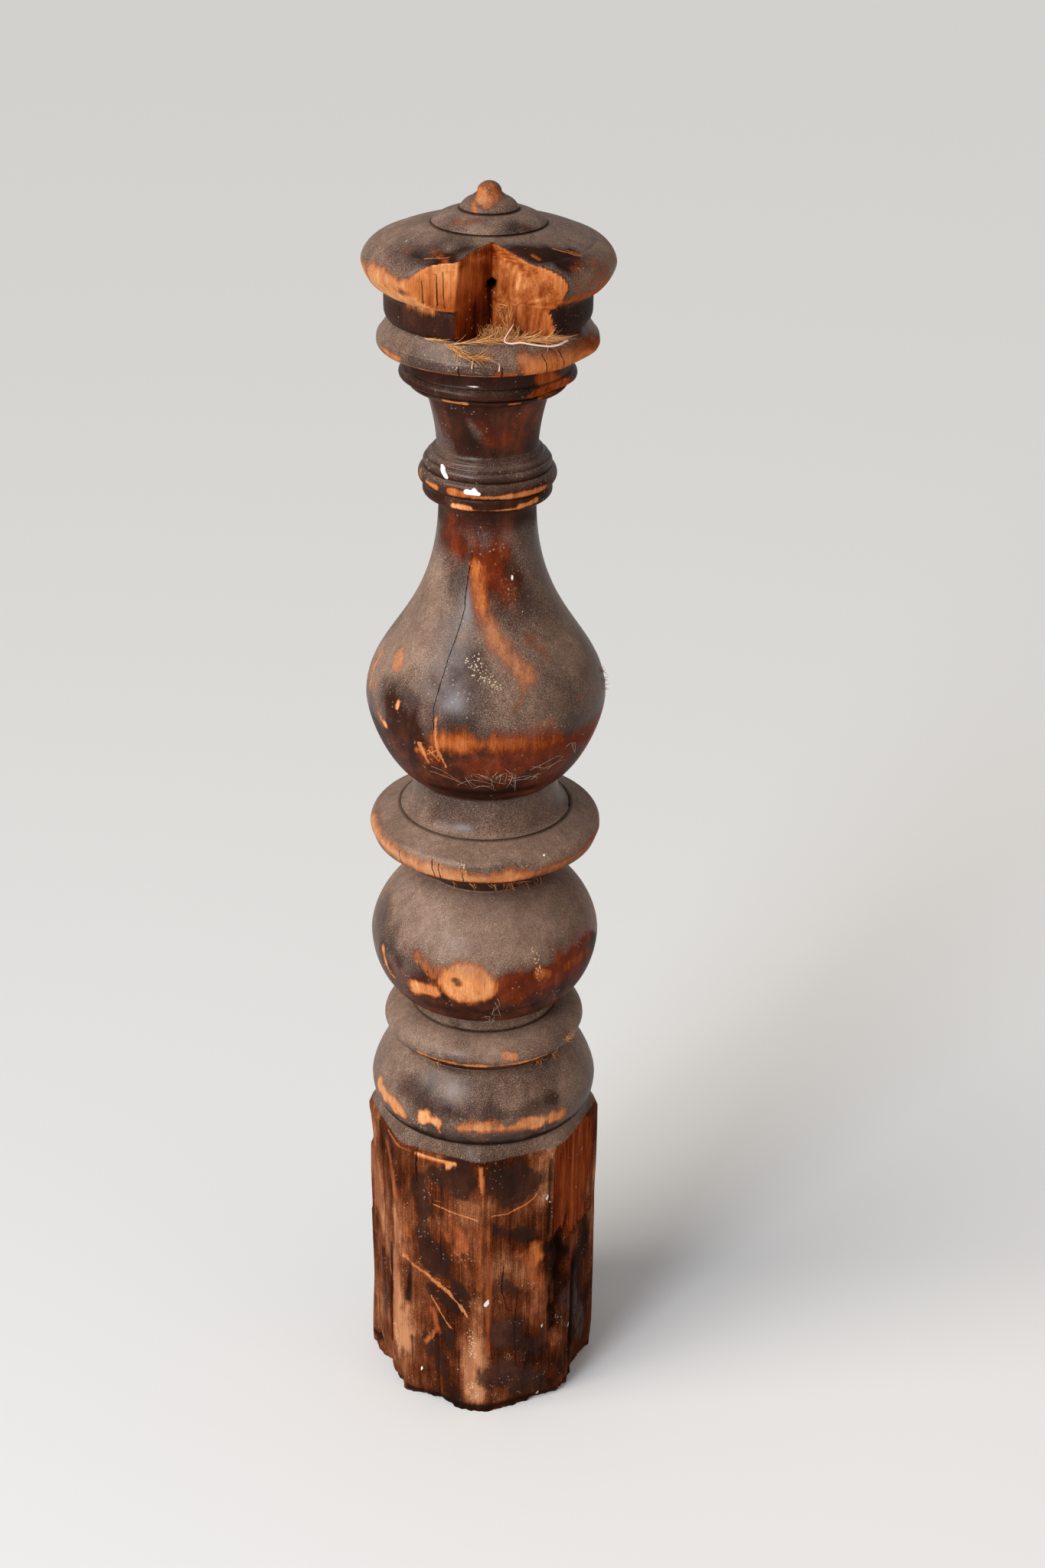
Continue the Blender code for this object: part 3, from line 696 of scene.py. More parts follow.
@dataclass
class Collar(SubPart):
    """Three beads, two fillets and the neck above them."""
    foot_step: float = 0.0015
    foot_radius: float = 0.0390
    low_radius: float = 0.0486
    low_height: float = 0.0120
    low_groove: float = 0.0472
    main_radius: float = 0.0518
    main_height: float = 0.0125
    high_groove: float = 0.0474
    high_radius: float = 0.0482
    high_height: float = 0.0070
    wide_fillet: float = 0.0452
    narrow_fillet: float = 0.0415
    fillet_height: float = 0.0020
    neck_radius: float = 0.0380
    neck_height: float = 0.0435
    neck_top: float = 0.0465

    def lay(self, outline: Outline) -> None:
        """Lay the rings from the foot of the collar to the top of the neck."""
        outline.now(0.0017, 0.10, 0.1)
        outline.line(self.foot_radius, self.foot_step)
        outline.bead(self.low_radius, self.low_groove, self.low_height)
        outline.now(dust=0.18)
        outline.bead(self.main_radius, self.high_groove, self.main_height)
        outline.bead(self.high_radius, self.wide_fillet, self.high_height)
        for radius in (self.wide_fillet, self.narrow_fillet, self.narrow_fillet, self.neck_radius):
            outline.line(radius, self.fillet_height)
            # Grime on the narrow fillet and its step to the neck: dirt and painted shade
            outline.grime = 0.45 if radius == self.narrow_fillet else 0.0
        outline.grime = 0.0
        outline.now(0.0036, 0.04, 0.36)
        low = outline.top
        end = (self.neck_top, low.height + self.neck_height)
        second = (0.5 * (low.radius + end[0]), end[1] - 0.0100)
        outline.curve((low.radius, low.height + 0.0120), second, end)

    def marks(self) -> Iterator[Mark]:
        """The worn beads and the paint spots of the collar."""
        yield from Look.BARE.strokes(
            (-122, 810, -100, 809, 2.2, 0.84, 0.66), (-100, 808, -70, 808, 3, 1, 0.76),
            (-70, 808, -34, 808, 2.4, 0.86, 0.72), (-150, 811, -136, 810, 2.8, 0.88, 0.8),
            (-120, 798, -104, 798, 2.2, 1, 0.9), (-104, 797, -60, 797, 1.2, 0.84, 0.74),
            (-60, 798, -40, 800, 1.8, 0.88, 0.78), (-168, 815, -160, 811, 2.4, 0.86, 0.66),
            (0, 809, 120, 809, 1.6, 0.8, 0.6),
        )
        yield from Look.RED.strokes((-104, 862, -80, 845, 14), strength=0.6)
        yield from Look.DUST.strokes(
            (-106, 862, -100, 852, 5, 0.35), (-170, 872, -150, 840, 12, 0.3),
            (-125, 829, -55, 829, 2, 0.15),
        )
        yield from Look.PAINT.strokes((-136, 825, -128, 819, 1.9), (-100, 814, -98, 812, 1.7), ragged=0.3)
        yield from Look.PAINT.strokes((-106, 812, -96, 811, 1.8), ragged=0.4)
        yield from Look.PALE.strokes((-160, 824, -158, 821, 2), strength=0.8)


@dataclass
class Head(SubPart):
    """The rings, the flange, the drum and the domed cap with its nipple."""
    ring_low: float = 0.0590
    ring_low_height: float = 0.0066
    ring_groove: float = 0.0575
    ring_high: float = 0.0652
    ring_high_height: float = 0.0090
    band_radius: float = 0.0608
    band_height: float = 0.0095
    flange_lip: float = 0.0045
    flange_edge: float = 0.0748
    flange_radius: float = 0.0810
    flange_lower: float = 0.0055
    flange_upper: float = 0.0060
    flange_ease: float = 0.0016
    flange_slope: float = 0.0105
    drum_foot: float = 0.0722
    drum_round: float = 0.0080
    drum_radius: float = 0.0755
    drum_height: float = 0.0145
    rim_radius: float = 0.0915
    rim_underside: float = 0.0190
    rim_round: float = 0.0160
    rim_top: float = 0.0760
    dome_rise: float = 0.0105
    dome_top: float = 0.0422
    cone_rise: float = 0.0088
    cone_top: float = 0.0222
    nipple_rise: float = 0.0073
    nipple_foot: float = 0.0138
    nipple_radius: float = 0.0092
    nipple_flare: float = 0.0036
    nipple_tip: float = 0.0080
    sill_rings: int = 7
    sill_rise: float = 0.0009

    def lay(self, outline: Outline) -> float:
        """Lay the rings from the neck to the nipple.

        Returns:
            The height of the drum's foot, which is the floor of the rail housing.
        """
        outline.now(0.0018, 0.03, 0.1)
        outline.swell(self.ring_low, self.ring_low_height)
        outline.groove(self.ring_groove)
        outline.bead(self.ring_high, self.band_radius, self.ring_high_height)
        outline.now(0.0024)
        outline.line(self.band_radius, self.band_height)
        outline.line(self.flange_edge, self.flange_lip)
        outline.now(0.0018, 0.50)
        outline.swell(self.flange_radius, self.flange_lower)
        outline.close(self.flange_radius - self.flange_ease, self.flange_upper)
        outline.now(0.0022)
        outline.line(self.drum_foot, self.flange_slope)
        floor = outline.top.height
        for step in range(1, self.sill_rings + 1):
            outline.opened = step / self.sill_rings
            outline.ring(self.drum_foot, floor + self.sill_rise * outline.opened)
        outline.now(0.0024, 0.06, 0.0)
        outline.swell(self.drum_radius, self.drum_round - self.sill_rise)
        outline.line(self.drum_radius, self.drum_height)
        outline.now(dust=0.45, red=0.3)
        outline.swell(self.rim_radius, self.rim_underside, 1.6)
        outline.now(dust=0.42, red=0.3)
        outline.close(self.rim_top, self.rim_round, 1.65)
        outline.close(self.dome_top, self.dome_rise, 1.25)
        outline.groove(self.dome_top - 0.0008)
        outline.now(0.0024)
        outline.close(self.cone_top, self.cone_rise, 1.45)
        outline.groove(self.cone_top - 0.0008)
        outline.now(0.0017, 0.4)
        outline.close(self.nipple_foot, self.nipple_rise, 1.45)
        outline.now(dust=0.3)
        outline.line(self.nipple_radius, self.nipple_flare)
        outline.close(0.0, self.nipple_tip)
        return floor

    def marks(self) -> Iterator[Mark]:
        """The bare rim and nipple, the blue-black patches and the torn flange."""
        yield from Look.BARE.strokes(
            (-190, 966, -150, 960, 12, 1, 0.94), (-150, 958, -118, 957, 11, 1, 0.88),
            (-152, 968, -118, 968, 8, 0.9, 0.8), (-52, 957, -12, 960, 7, 0.86, 0.48),
            (-46, 968, -16, 966, 7, 0.52, 0.62), (-44, 978, -10, 976, 11, 0.46, 0.62),
            (-12, 962, 30, 964, 7, 0.6, 0.56), (30, 964, 170, 964, 5, 0.78, 0.56),
            (-190, 1019, 170, 1019, 6, 0.74, 0.66), (-190, 1024, 170, 1024, 9, 0.84, 0.68),
            (-150, 1020, -112, 1014, 6, 1, 0.84), (-128, 1012, -112, 1006, 3.5, 0.8, 0.74),
            (-100, 1012, -60, 1018, 5, 0.76, 0.52), (-63, 989, -61, 987, 2.4, 0.74, 0.66),
            (-124, 990, -112, 986, 4, 0.52, 0.56), (-109, 985, -104, 979, 3.4, 0.62, 0.66),
            (-84, 998, -76, 994, 4, 0.5, 0.5), (-130, 1002, -100, 1004, 4, 0.52, 0.52),
            (-46, 992, -34, 985, 2, 0.62, 0.7), (-156, 908, -84, 907, 1.5, 1, 0.72),
            (-160, 912, -140, 911, 2.2, 0.86, 0.74), (-84, 909, -76, 908, 3, 0.9, 0.5),
            (-122, 880, -104, 880, 1.6, 0.95, 0.76), (-50, 896, -30, 890, 7, 0.95, 0.46),
            (-50, 882, -34, 884, 3, 0.84, 0.5), (-74, 880, -66, 880, 1.6, 0.84, 0.66),
        )
        yield from Look.BARE.strokes(
            (-70, 919, -66, 908, 7, 1, 0.62), (-66, 914, -34, 914, 11, 1, 0.62),
            (-34, 914, -12, 913, 11, 1, 0.44),
            ragged=0.25,
        )
        yield from Look.BARE.strokes((-36, 920, -14, 917, 4, 0.7, 0.3), ragged=0.8)
        yield from Look.DUST.strokes(
            (-150, 990, -116, 984, 12, -0.5), (-112, 986, -104, 992, 7, -0.4),
            (-70, 992, -48, 986, 12, -0.75), (-50, 984, -30, 982, 8, -0.3), (-60, 1002, -48, 1000, 6, -0.2),
            (-172, 988, -146, 994, 13, 0.35), (-140, 996, -112, 994, 11, -0.32),
            (-70, 999, -50, 998, 7, -0.25), (-110, 1003, -96, 1003, 5, -0.22),
            (-100, 1000, -84, 996, 8, 0.2), (-130, 914, -96, 913, 9, -0.18), (-64, 911, -10, 911, 8, -0.45),
            (-60, 940, -20, 936, 14, -0.5), (-40, 974, 10, 976, 11, 0.45),
        )
        yield from Look.PAINT.strokes((-104, 893.5, -94, 893.5, 0.9), strength=0.9)
        yield from Look.PAINT.spots((-117, 984, 1), strength=0.9)
        yield from Look.PAINT.spots(
            (-150, 990, 0.8), (-128, 990, 0.8), (-64, 990, 0.8), (-58, 990, 0.8),
            strength=0.7,
        )
        # Grime: dirt, and painted shade in the flange's checks and on the drum under the rim
        yield from Look.GRIME_AND_SHADE.strokes(
            (-45, 938, -5, 940, 14, 0.7), (-140, 936, -128, 948, 9, 0.3), (-104, 912, -104, 907, 0.8, 0.9),
            (-82, 912, -82, 907, 0.6, 0.9),
        )
        yield from Look.PALE.strokes((-110, 916, -90, 912, 6), strength=0.56)

    def hairlines(self) -> Iterator[Hairline]:
        """Checks in the split rim, scratches on the dome and a check in the torn flange."""
        yield from Hairline.each((0.4, -124, 986, -112, 988), (0.7, -46, 990, -36, 985))
        yield from Hairline.each(
            (0.35, -122, 972, -121.5, 957), (0.5, -115.5, 955, -116, 977), (0.4, -113, 978, -112.5, 954),
            (0.6, -104, 913, -104, 906), (0.5, -82, 913, -82, 906), (0.5, -60, 920, -58, 908),
            (0.5, -47, 908, -49, 920),
            crack=True,
        )


@dataclass
class Housing:
    """The V chopped for the handrail, its right wall leaning out towards the top."""
    corner_x: float = 0.0030
    corner_depth: float = 0.0450
    left_angle: float = -133.5
    right_low: float = -15.0
    right_high: float = -48.0
    lean_power: float = 1.5
    below_top: float = 0.0300
    corner_lean: float = 0.0045
    wedge: float = 0.0070
    wedge_height: float = 0.0300
    wedge_reach: float = 0.0140
    hole_height: float = 0.0360
    hole_radius: float = 0.0039
    hole_depth: float = 0.0170

    def walls(self, way: Field, share: Field) -> tuple[Field, Field]:
        """Distance from the axis to each wall.

        Args:
            way: Unit directions in plan, last axis x and y.
            share: Height within the housing, 0 at its floor and 1 at the cap's top.

        Returns:
            The distances to the left and the right wall, very far where there is none.
        """
        corner = np.array([self.corner_x, -self.corner_depth])
        left = math.radians(self.left_angle)
        lean = np.clip(share, 0.0, 1.2) ** self.lean_power
        right = np.radians(self.right_low + (self.right_high - self.right_low) * lean)
        normals = (
            np.stack([np.full_like(share, -math.sin(left)), np.full_like(share, math.cos(left))], -1),
            np.stack([np.sin(right), -np.cos(right)], -1),
        )
        distances = []
        for normal in normals:
            facing = (normal * way).sum(-1)
            reach = (normal * corner).sum(-1)
            distances.append(np.where(facing > 1e-4, reach / np.maximum(facing, 1e-4), FAR))
        return distances[0], distances[1]

    def mouth(self, wall: Field, way: Field, rise: Field) -> Field:
        """0 inside the bolt hole's mouth and 1 outside it."""
        off = np.hypot(wall * way[..., 0] - self.corner_x, rise - self.hole_height)
        return smooth_step(self.hole_radius - 0.7 * MM, self.hole_radius + 0.7 * MM, off)


@dataclass(frozen=True)
class Split:
    """A face where a piece split off, nearly flat and tipped.

    Angle, tilt and width are in degrees, the rest in metres. The face stands at a distance
    from the axis at its level, and takes wood off between low and high. Far tone is its tone
    beyond its angle, and lighter is how much its tone rises over a metre of height.
    """
    angle: float
    tilt: float
    level: float
    distance: float
    low: float
    high: float
    tone: float
    torn: float
    width: float = 180.0
    far_tone: float | None = None
    lighter: float = 0.0

    def limit(self, angle: Field, height: Field) -> Field:
        """Distance from the axis to the face, very far where it takes nothing off."""
        turn, tip = math.radians(self.angle), math.radians(self.tilt)
        off = np.degrees(np.abs((angle - turn + math.pi) % (2.0 * math.pi) - math.pi))
        facing = np.cos(angle - turn) * math.cos(tip)
        reach = self.distance * math.cos(tip) + math.sin(tip) * (height - self.level)
        limit = np.where(facing > 0.05, reach / np.maximum(facing, 0.05), FAR)
        fade = 2.0 * MM
        outside = smooth_step(0.0, fade, self.low - height) + smooth_step(0.0, fade, height - self.high)
        outside = outside + smooth_step(self.width, self.width + 4.0, off)
        return np.where(outside < 1.0, limit + 0.05 * outside, FAR)

    def shade(self, angle: Field, height: Field) -> Field:
        """How light the face's wood is."""
        far = self.tone if self.far_tone is None else self.far_tone
        share = smooth_step(-0.06, 0.06, angle - math.radians(self.angle))
        return self.tone * (1.0 - share) + far * share + self.lighter * (height - self.level)


@dataclass
class Skin:
    """The post's surface as arrays: one row for a ring and one column for an angle."""
    rings: list[Ring]
    front_columns: int = 168
    back_columns: int = 40

    def __post_init__(self) -> None:
        """Lay out the columns, closer together on the front."""
        half = 0.5 * math.pi
        back = self.back_columns // 2
        steps = np.concatenate([
            np.linspace(-math.pi, -half, back, endpoint=False),
            np.linspace(-half, half, self.front_columns, endpoint=False),
            np.linspace(half, math.pi, back, endpoint=False),
        ])
        self.angle = (steps - half)[None, :]
        self.way = np.stack([np.cos(self.angle), np.sin(self.angle)], -1)
        self.radius = np.array([ring.radius for ring in self.rings])[:, None]
        self.height = np.array([ring.height for ring in self.rings])[:, None]
        self.turned = np.array([ring.turned for ring in self.rings])[:, None]
        self.opened = np.array([ring.opened for ring in self.rings])[:, None]
        steps_out = np.hypot(np.diff(self.radius[:, 0]), np.diff(self.height[:, 0]))
        self.along = np.concatenate([[0.0], np.cumsum(steps_out)])[:, None]
        self.shape = (len(self.rings), self.angle.shape[1])
        apart = self.along[:, 0] + 1e-9 * np.arange(len(self.rings))
        slope_r = np.gradient(self.radius[:, 0], apart)
        slope_z = np.gradient(self.height[:, 0], apart)
        size = np.hypot(slope_r, slope_z) + 1e-9
        self.out = (slope_z / size)[:, None]
        self.up = (-slope_r / size)[:, None]

    def full(self, values: Sequence[float], blend: int = 0) -> Field:
        """One value for each ring, blended with its neighbours and spread over its columns.

        Args:
            values: A value for each ring.
            blend: How many rings on either side a value is blended with.

        Returns:
            The values for every ring and column.
        """
        padded = np.pad(np.array(values, float), blend, mode="edge")
        share = np.full(2 * blend + 1, 1.0 / (2 * blend + 1))
        return np.repeat(np.convolve(padded, share, "valid")[:, None], self.shape[1], 1)

    def level(self, height_mm: float) -> float:
        """Distance along the outline at a height in millimetres."""
        return float(np.interp(height_mm * MM, self.height[:, 0], self.along[:, 0]))

    def run(self, start: Place, end: Place) -> tuple[Field, Field, Field, float]:
        """Offsets over the surface from one place, and the run from it to another.

        Args:
            start: The first place.
            end: The second place.

        Returns:
            The offsets across and along, then the run across and along, in metres.
        """
        turn = (self.angle - math.radians(start[0]) + math.pi) % (2.0 * math.pi) - math.pi
        across = self.radius * turn
        along = self.along - self.level(start[1]) + 0.0 * turn
        run_across = self.radius * math.radians(end[0] - start[0])
        return across, along, run_across, self.level(end[1]) - self.level(start[1])

    def stroke(self, start: Place, end: Place) -> Field:
        """Distance over the surface from a stroke between two places, in metres."""
        x, y, run_x, run_y = self.run(start, end)
        size = run_x * run_x + run_y * run_y + 1e-12
        share = np.clip((x * run_x + y * run_y) / size, 0.0, 1.0)
        return np.hypot(x - run_x * share, y - run_y * share)

    def line(self, path: Sequence[Place]) -> tuple[Field, Field]:
        """Distances from a line through several places.

        Args:
            path: The places in order.

        Returns:
            The signed distance across the line, and how far past its ends, in metres.
        """
        side, past = np.full(self.shape, FAR), np.full(self.shape, FAR)
        for start, end in zip(path, path[1:]):
            x, y, run_x, run_y = self.run(start, end)
            size = np.hypot(run_x, run_y) + 1e-9
            forward = (x * run_x + y * run_y) / size
            new_past = np.maximum(np.maximum(-forward, forward - size), 0.0)
            new_side = (x * run_y - y * run_x) / size
            nearer = np.hypot(new_side, new_past) < np.hypot(side, past)
            side = np.where(nearer, new_side, side)
            past = np.where(nearer, new_past, past)
        return side, past


@dataclass(frozen=True)
class Wear:
    """How deep the relief of worn and eaten wood goes, in metres.

    Ridges, hollows and nibbles are on the foot. Shaving and waves are on the turned wood.
    """
    ridges: float = 1.5 * MM
    hollows: float = 4.4 * MM
    nibbles: float = 4.0 * MM
    shaving: float = 0.35 * MM
    waves: float = 0.7 * MM


class NewelPost:
    """The post as one worn, cut and split skin."""

    # Share of the dust taken off the right-hand side, as painted shade
    painted_side_shade = 0.16
    wear = Wear()

    def __init__(self) -> None:
        """Lay every ring of the post and place what was cut and split away."""
        self.foot = FootBlock()
        self.outline = Outline()
        self.head = Head()
        self.parts = (self.foot, FootMouldings(), Vase(), Collar(), self.head)
        for part in self.parts[:-1]:
            part.lay(self.outline)
        self.floor = self.head.lay(self.outline)
        self.top = self.outline.top.height
        self.housing = Housing()
        self.skin = Skin(self.outline.rings)
        rim = self.floor + self.head.drum_round + self.head.drum_height
        lip = self.floor - self.head.flange_slope - self.head.flange_upper
        flange = self.head.flange_radius - 0.0034
        slab = self.foot.corner_radius * 0.925 - 0.0035
        self.splits = (
            Split(-90.0, 0.0, rim, 0.0715, rim + 1.0 * MM, FAR, 0.46, 1.0 * MM, 55.0, 0.44, 11.0),
            Split(-32.0, 38.0, lip, flange, lip - 12.0 * MM, lip + 14.0 * MM, 0.62, 0.7 * MM, 44.0),
            Split(-40.0, 24.0, lip - 19.0 * MM, 0.0612, lip - 30.0 * MM, lip - 8.0 * MM, 0.34, 0.9 * MM, 30),
            Split(-28.0, 0.0, 0.20, slab, 0.154, 0.2560, 0.30, 1.3 * MM, 26.0),
        )

    def surface(self) -> tuple[Field, Looks]:
        """Work out every vertex and what its surface looks like.

        Returns:
            The vertices as an array of rings, columns and x, y, z, and the looks by name.
        """
        skin = self.skin
        body = skin.turned * skin.radius + (1.0 - skin.turned) * self.foot.across(skin.angle, skin.radius)
        rest = np.stack([body * skin.way[..., 0], body * skin.way[..., 1], skin.height + 0.0 * body], -1)
        looks = self.ring_looks()
        self.add_marks(rest, looks)
        self.add_hairlines(looks)
        push = self.relief(rest, looks)
        ragged = (Noise(21).at(rest, 190.0, 60.0, 2) - 0.5) * 2.0
        for pocket in self.every("pockets"):
            push -= self.pressed(pocket, ragged)
        radius = body + push * np.where(skin.turned < 1.0, 1.0, skin.out)
        height = skin.height + push * np.where(skin.turned < 1.0, 0.0, skin.up)
        height = np.where(skin.height <= 0.0, 0.0, height)
        radius = self.cut(radius, height, rest, looks)
        points = np.stack([radius * skin.way[..., 0], radius * skin.way[..., 1], height], -1)
        return points, looks

    def every(self, kind: str) -> Iterator:
        """All the marks, pockets or hairlines of the sub-parts, from the foot up."""
        for part in self.parts:
            yield from getattr(part, kind)()

    def relief(self, rest: Field, looks: Looks) -> Field:
        """Shallow relief of the wood: erosion on the foot and slight waves elsewhere.

        Args:
            rest: The uncut surface.
            looks: The painted looks, of which black finish lies proud of the eaten wood.

        Returns:
            How far the surface moves out, in metres.
        """
        skin, wear = self.skin, self.wear
        height = rest[..., 2]
        degrees = np.degrees(skin.angle) + 0.0 * height
        low = smooth_step(0.030, 0.0, height)
        left = smooth_step(-118.0, -140.0, degrees) * smooth_step(0.262, 0.225, height)
        right = smooth_step(-62.0, -46.0, degrees) * smooth_step(0.20, 0.16, height)
        right = right * smooth_step(20.0, -10.0, degrees)
        eaten = np.clip(0.32 + 0.7 * left + 0.5 * right + 0.9 * low, 0.0, 1.6)
        eaten *= (1.0 - skin.turned) * (1.0 - 0.75 * np.clip(looks["black"], 0.0, 1.0))
        ridges = Noise(11).at(rest, 260.0, 14.0, 2)
        hollows = Noise(12).at(rest, 46.0, 10.0, 2)
        nibbled = Noise(13).at(rest, 240.0, 90.0, 2)
        waves = Noise(14).at(rest, 12.0, 9.0, 2) - 0.5
        push = -eaten * (wear.ridges * (1.0 - ridges) + wear.hollows * np.maximum(hollows - 0.42, 0.0))
        push -= (1.0 - skin.turned) * low * wear.nibbles * np.maximum(nibbled - 0.40, 0.0)
        push -= skin.turned * (wear.shaving + wear.waves * waves)
        bare = np.clip(looks["bare"] * 2.0 - 0.8, 0.0, 1.0)
        push -= skin.turned * bare * 0.35 * MM * (0.6 + 0.8 * ridges)
        return push

    def pressed(self, pocket: Pocket, ragged: Field) -> Field:
        """Depth to which a pocket presses the surface in, in metres."""
        share = self.skin.stroke(pocket.start, pocket.end) / (pocket.half * MM) + ragged * pocket.ragged
        return pocket.depth * MM * (1.0 - smooth_step(0.15, 1.15, share))

    def ring_looks(self) -> Looks:
        """Fields of every look as the rings have them, before any mark."""
        skin, rings = self.skin, self.outline.rings
        looks = {look.value: np.zeros(skin.shape) for look in Look}
        looks["foot"] = 1.0 - skin.full([ring.turned for ring in rings])
        facing_up = np.where(looks["foot"] > 0.99, 0.0, np.repeat(skin.up, skin.shape[1], 1))
        looks["dust"] = skin.full([ring.dust for ring in rings], 3) + 0.30 * facing_up
        looks["red"] = skin.full([ring.red for ring in rings], 3)
        looks["grime"] = skin.full([ring.grime for ring in rings])
        degrees = np.degrees(skin.angle) + 0.0 * facing_up
        # Painted shade: the dust thins towards the right-hand side, which makes that side darker
        looks["dust"] *= 1.0 - self.painted_side_shade * smooth_step(-80.0, -30.0, degrees)
        return looks

    def add_marks(self, rest: Field, looks: Looks) -> None:
        """Add every mark to the looks, and the tone of bare wood.

        Args:
            rest: The uncut surface.
            looks: The looks to change.
        """
        ragged = Noise(41).at(rest, 120.0, 80.0, 2) - 0.5
        wander = Noise(42).at(rest, 45.0, 36.0, 2) - 0.5
        outline = 1.5 * ragged + 2.4 * wander
        tone, weight = np.zeros(self.skin.shape), np.full(self.skin.shape, 1e-6)
        for mark in self.every("marks"):
            name = mark.look.value
            distance = self.skin.stroke(mark.start, mark.end) / (mark.half * MM) + mark.ragged * outline
            if mark.look is Look.DUST:
                looks[name] += mark.strength * smooth_step(0.0, 1.0, 1.0 - 0.5 * distance)
                continue
            shown = np.clip(0.5 + 0.75 * (1.0 - distance) / mark.blur, 0.0, 1.0) * mark.strength
            looks[name] = np.maximum(looks[name], shown)
            if mark.look is Look.BARE:
                tone += mark.tone * shown ** 3
                weight += shown ** 3
        looks["tone"] = np.where(weight > 0.01, tone / weight, 0.4)
        looks["dust"] = np.clip(looks["dust"], 0.0, 1.0)

    def add_hairlines(self, looks: Looks) -> None:
        """Add every hairline to the looks, as its signed distance and where that holds."""
        for name in ("crack", "scratch"):
            looks[name] = np.full(self.skin.shape, 20.0)
            looks[name + "_on"] = np.zeros(self.skin.shape)
        for line in self.every("hairlines"):
            name = "crack" if line.crack else "scratch"
            side, past = self.skin.line(line.path)
            near = np.clip(1.6 - np.abs(side) / (5.0 * MM), 0.0, 1.0)
            holds = near * np.clip(1.0 - past / (3.0 * MM), 0.0, 1.0)
            nearer = holds > looks[name + "_on"]
            looks[name] = np.where(nearer, side / (line.half * MM), looks[name])
            looks[name + "_on"] = np.where(nearer, holds, looks[name + "_on"])

    def cut(self, radius: Field, height: Field, rest: Field, looks: Looks) -> Field:
        """Take off what was chopped and split away, and colour the cut wood.

        Args:
            radius: The worn radius of every vertex.
            height: The height of every vertex.
            rest: The uncut surface.
            looks: The looks, which the cuts change.

        Returns:
            The radius of every vertex after the cuts.
        """
        angle = self.skin.angle + 0.0 * radius
        torn = Noise(31).at(rest, 420.0, 16.0, 2) - 0.5
        lumps = Noise(32).at(rest, 90.0, 40.0, 2) - 0.5
        for split in self.splits:
            limit = split.limit(angle, height) + split.torn * (1.4 * torn + 1.6 * lumps)
            self.open_wood(looks, radius - limit, split.shade(angle, height) + 0.35 * torn)
            radius = soft_min(radius, limit, 1.2 * MM)
        return self.chop(radius, height, torn, lumps, looks)

    def chop(self, radius: Field, height: Field, torn: Field, lumps: Field, looks: Looks) -> Field:
        """Chop the rail housing and bore its bolt hole.

        Args:
            radius: The radius of every vertex after the splits.
            height: The height of every vertex.
            torn: Fine noise along the grain.
            lumps: Coarse noise.
            looks: The looks, which the housing changes.

        Returns:
            The radius of every vertex after the housing.
        """
        housing = self.housing
        rise = height - self.floor
        share = rise / (self.top - housing.below_top - self.floor)
        angle = self.skin.angle + 0.0 * radius
        way = np.stack([np.cos(angle), np.sin(angle)], -1)
        left, right = housing.walls(way, np.clip(share, 0.0, None))
        lean = housing.corner_lean * smooth_step(0.2, 1.0, share)
        left = left + lean + 0.25 * MM * torn + 0.5 * MM * lumps
        right = right + lean + 1.0 * MM * torn + 1.6 * MM * lumps
        wall = soft_max(left, right, 1.6 * MM)
        off = np.hypot(wall * way[..., 0] - housing.corner_x, wall * way[..., 1] + housing.corner_depth)
        corner = smooth_step(housing.wedge_reach, 0.0, off)
        low = smooth_step(housing.wedge_height, 0.0, rise - 0.25 * (wall - housing.corner_depth))
        wall = wall + housing.wedge * low * corner
        mouth = housing.mouth(wall, way, rise)
        wall = wall * mouth + np.minimum(housing.corner_depth - housing.hole_depth, wall) * (1.0 - mouth)
        gone = radius - wall
        opened = np.clip(self.skin.opened + 0.0 * radius, 0.0, 1.0)
        standing = smooth_step(0.85, 1.0, opened)
        depth = np.clip(rise / 0.060, 0.0, 1.0)
        # Painted shade: the left wall darkens towards the housing's floor, and the wood darkens into the V's
        # corner
        tone_left = 0.14 + 0.22 * smooth_step(0.10, 0.75, depth) + 0.5 * lumps
        tone_right = 0.54 + 0.06 * depth - 0.20 * smooth_step(0.75, 1.1, share) + 0.35 * lumps + 0.7 * torn
        on_left = smooth_step(-1.0 * MM, 1.0 * MM, left - right)
        tone = on_left * tone_left + (1.0 - on_left) * tone_right - 0.26 * corner
        self.open_wood(looks, np.where(standing > 0.5, gone, -FAR), tone)
        sill = smooth_step(0.0, 3.0 * MM, gone) * (1.0 - standing) * smooth_step(0.02, 0.1, opened)
        swept = smooth_step(0.0, 1.0 * MM, gone) * standing
        # Painted shade: the bolt hole's mouth is painted dark as grime
        looks["grime"] = np.maximum(looks["grime"], (1.0 - mouth) * 1.3)
        looks["dust"] = np.clip(looks["dust"] * (1.0 - swept) + 0.5 * sill, 0.0, 1.0)
        return radius * (1.0 - opened) + soft_min(radius, wall, 1.0 * MM) * opened

    @staticmethod
    def open_wood(looks: Looks, gone: Field, tone: Field) -> None:
        """Show bare wood where at least a shaving is gone.

        Args:
            looks: The looks to change.
            gone: How much is taken off, in metres.
            tone: How light the opened wood is.
        """
        shown = smooth_step(-0.5 * MM, 1.1 * MM, gone)
        looks["tone"] = looks["tone"] * (1.0 - shown) + np.clip(tone, 0.0, 1.0) * shown
        looks["bare"] = np.maximum(looks["bare"], shown)
        for name in ("dust", "black", "pale", "grime", "scratch_on"):
            looks[name] = looks[name] * (1.0 - shown)

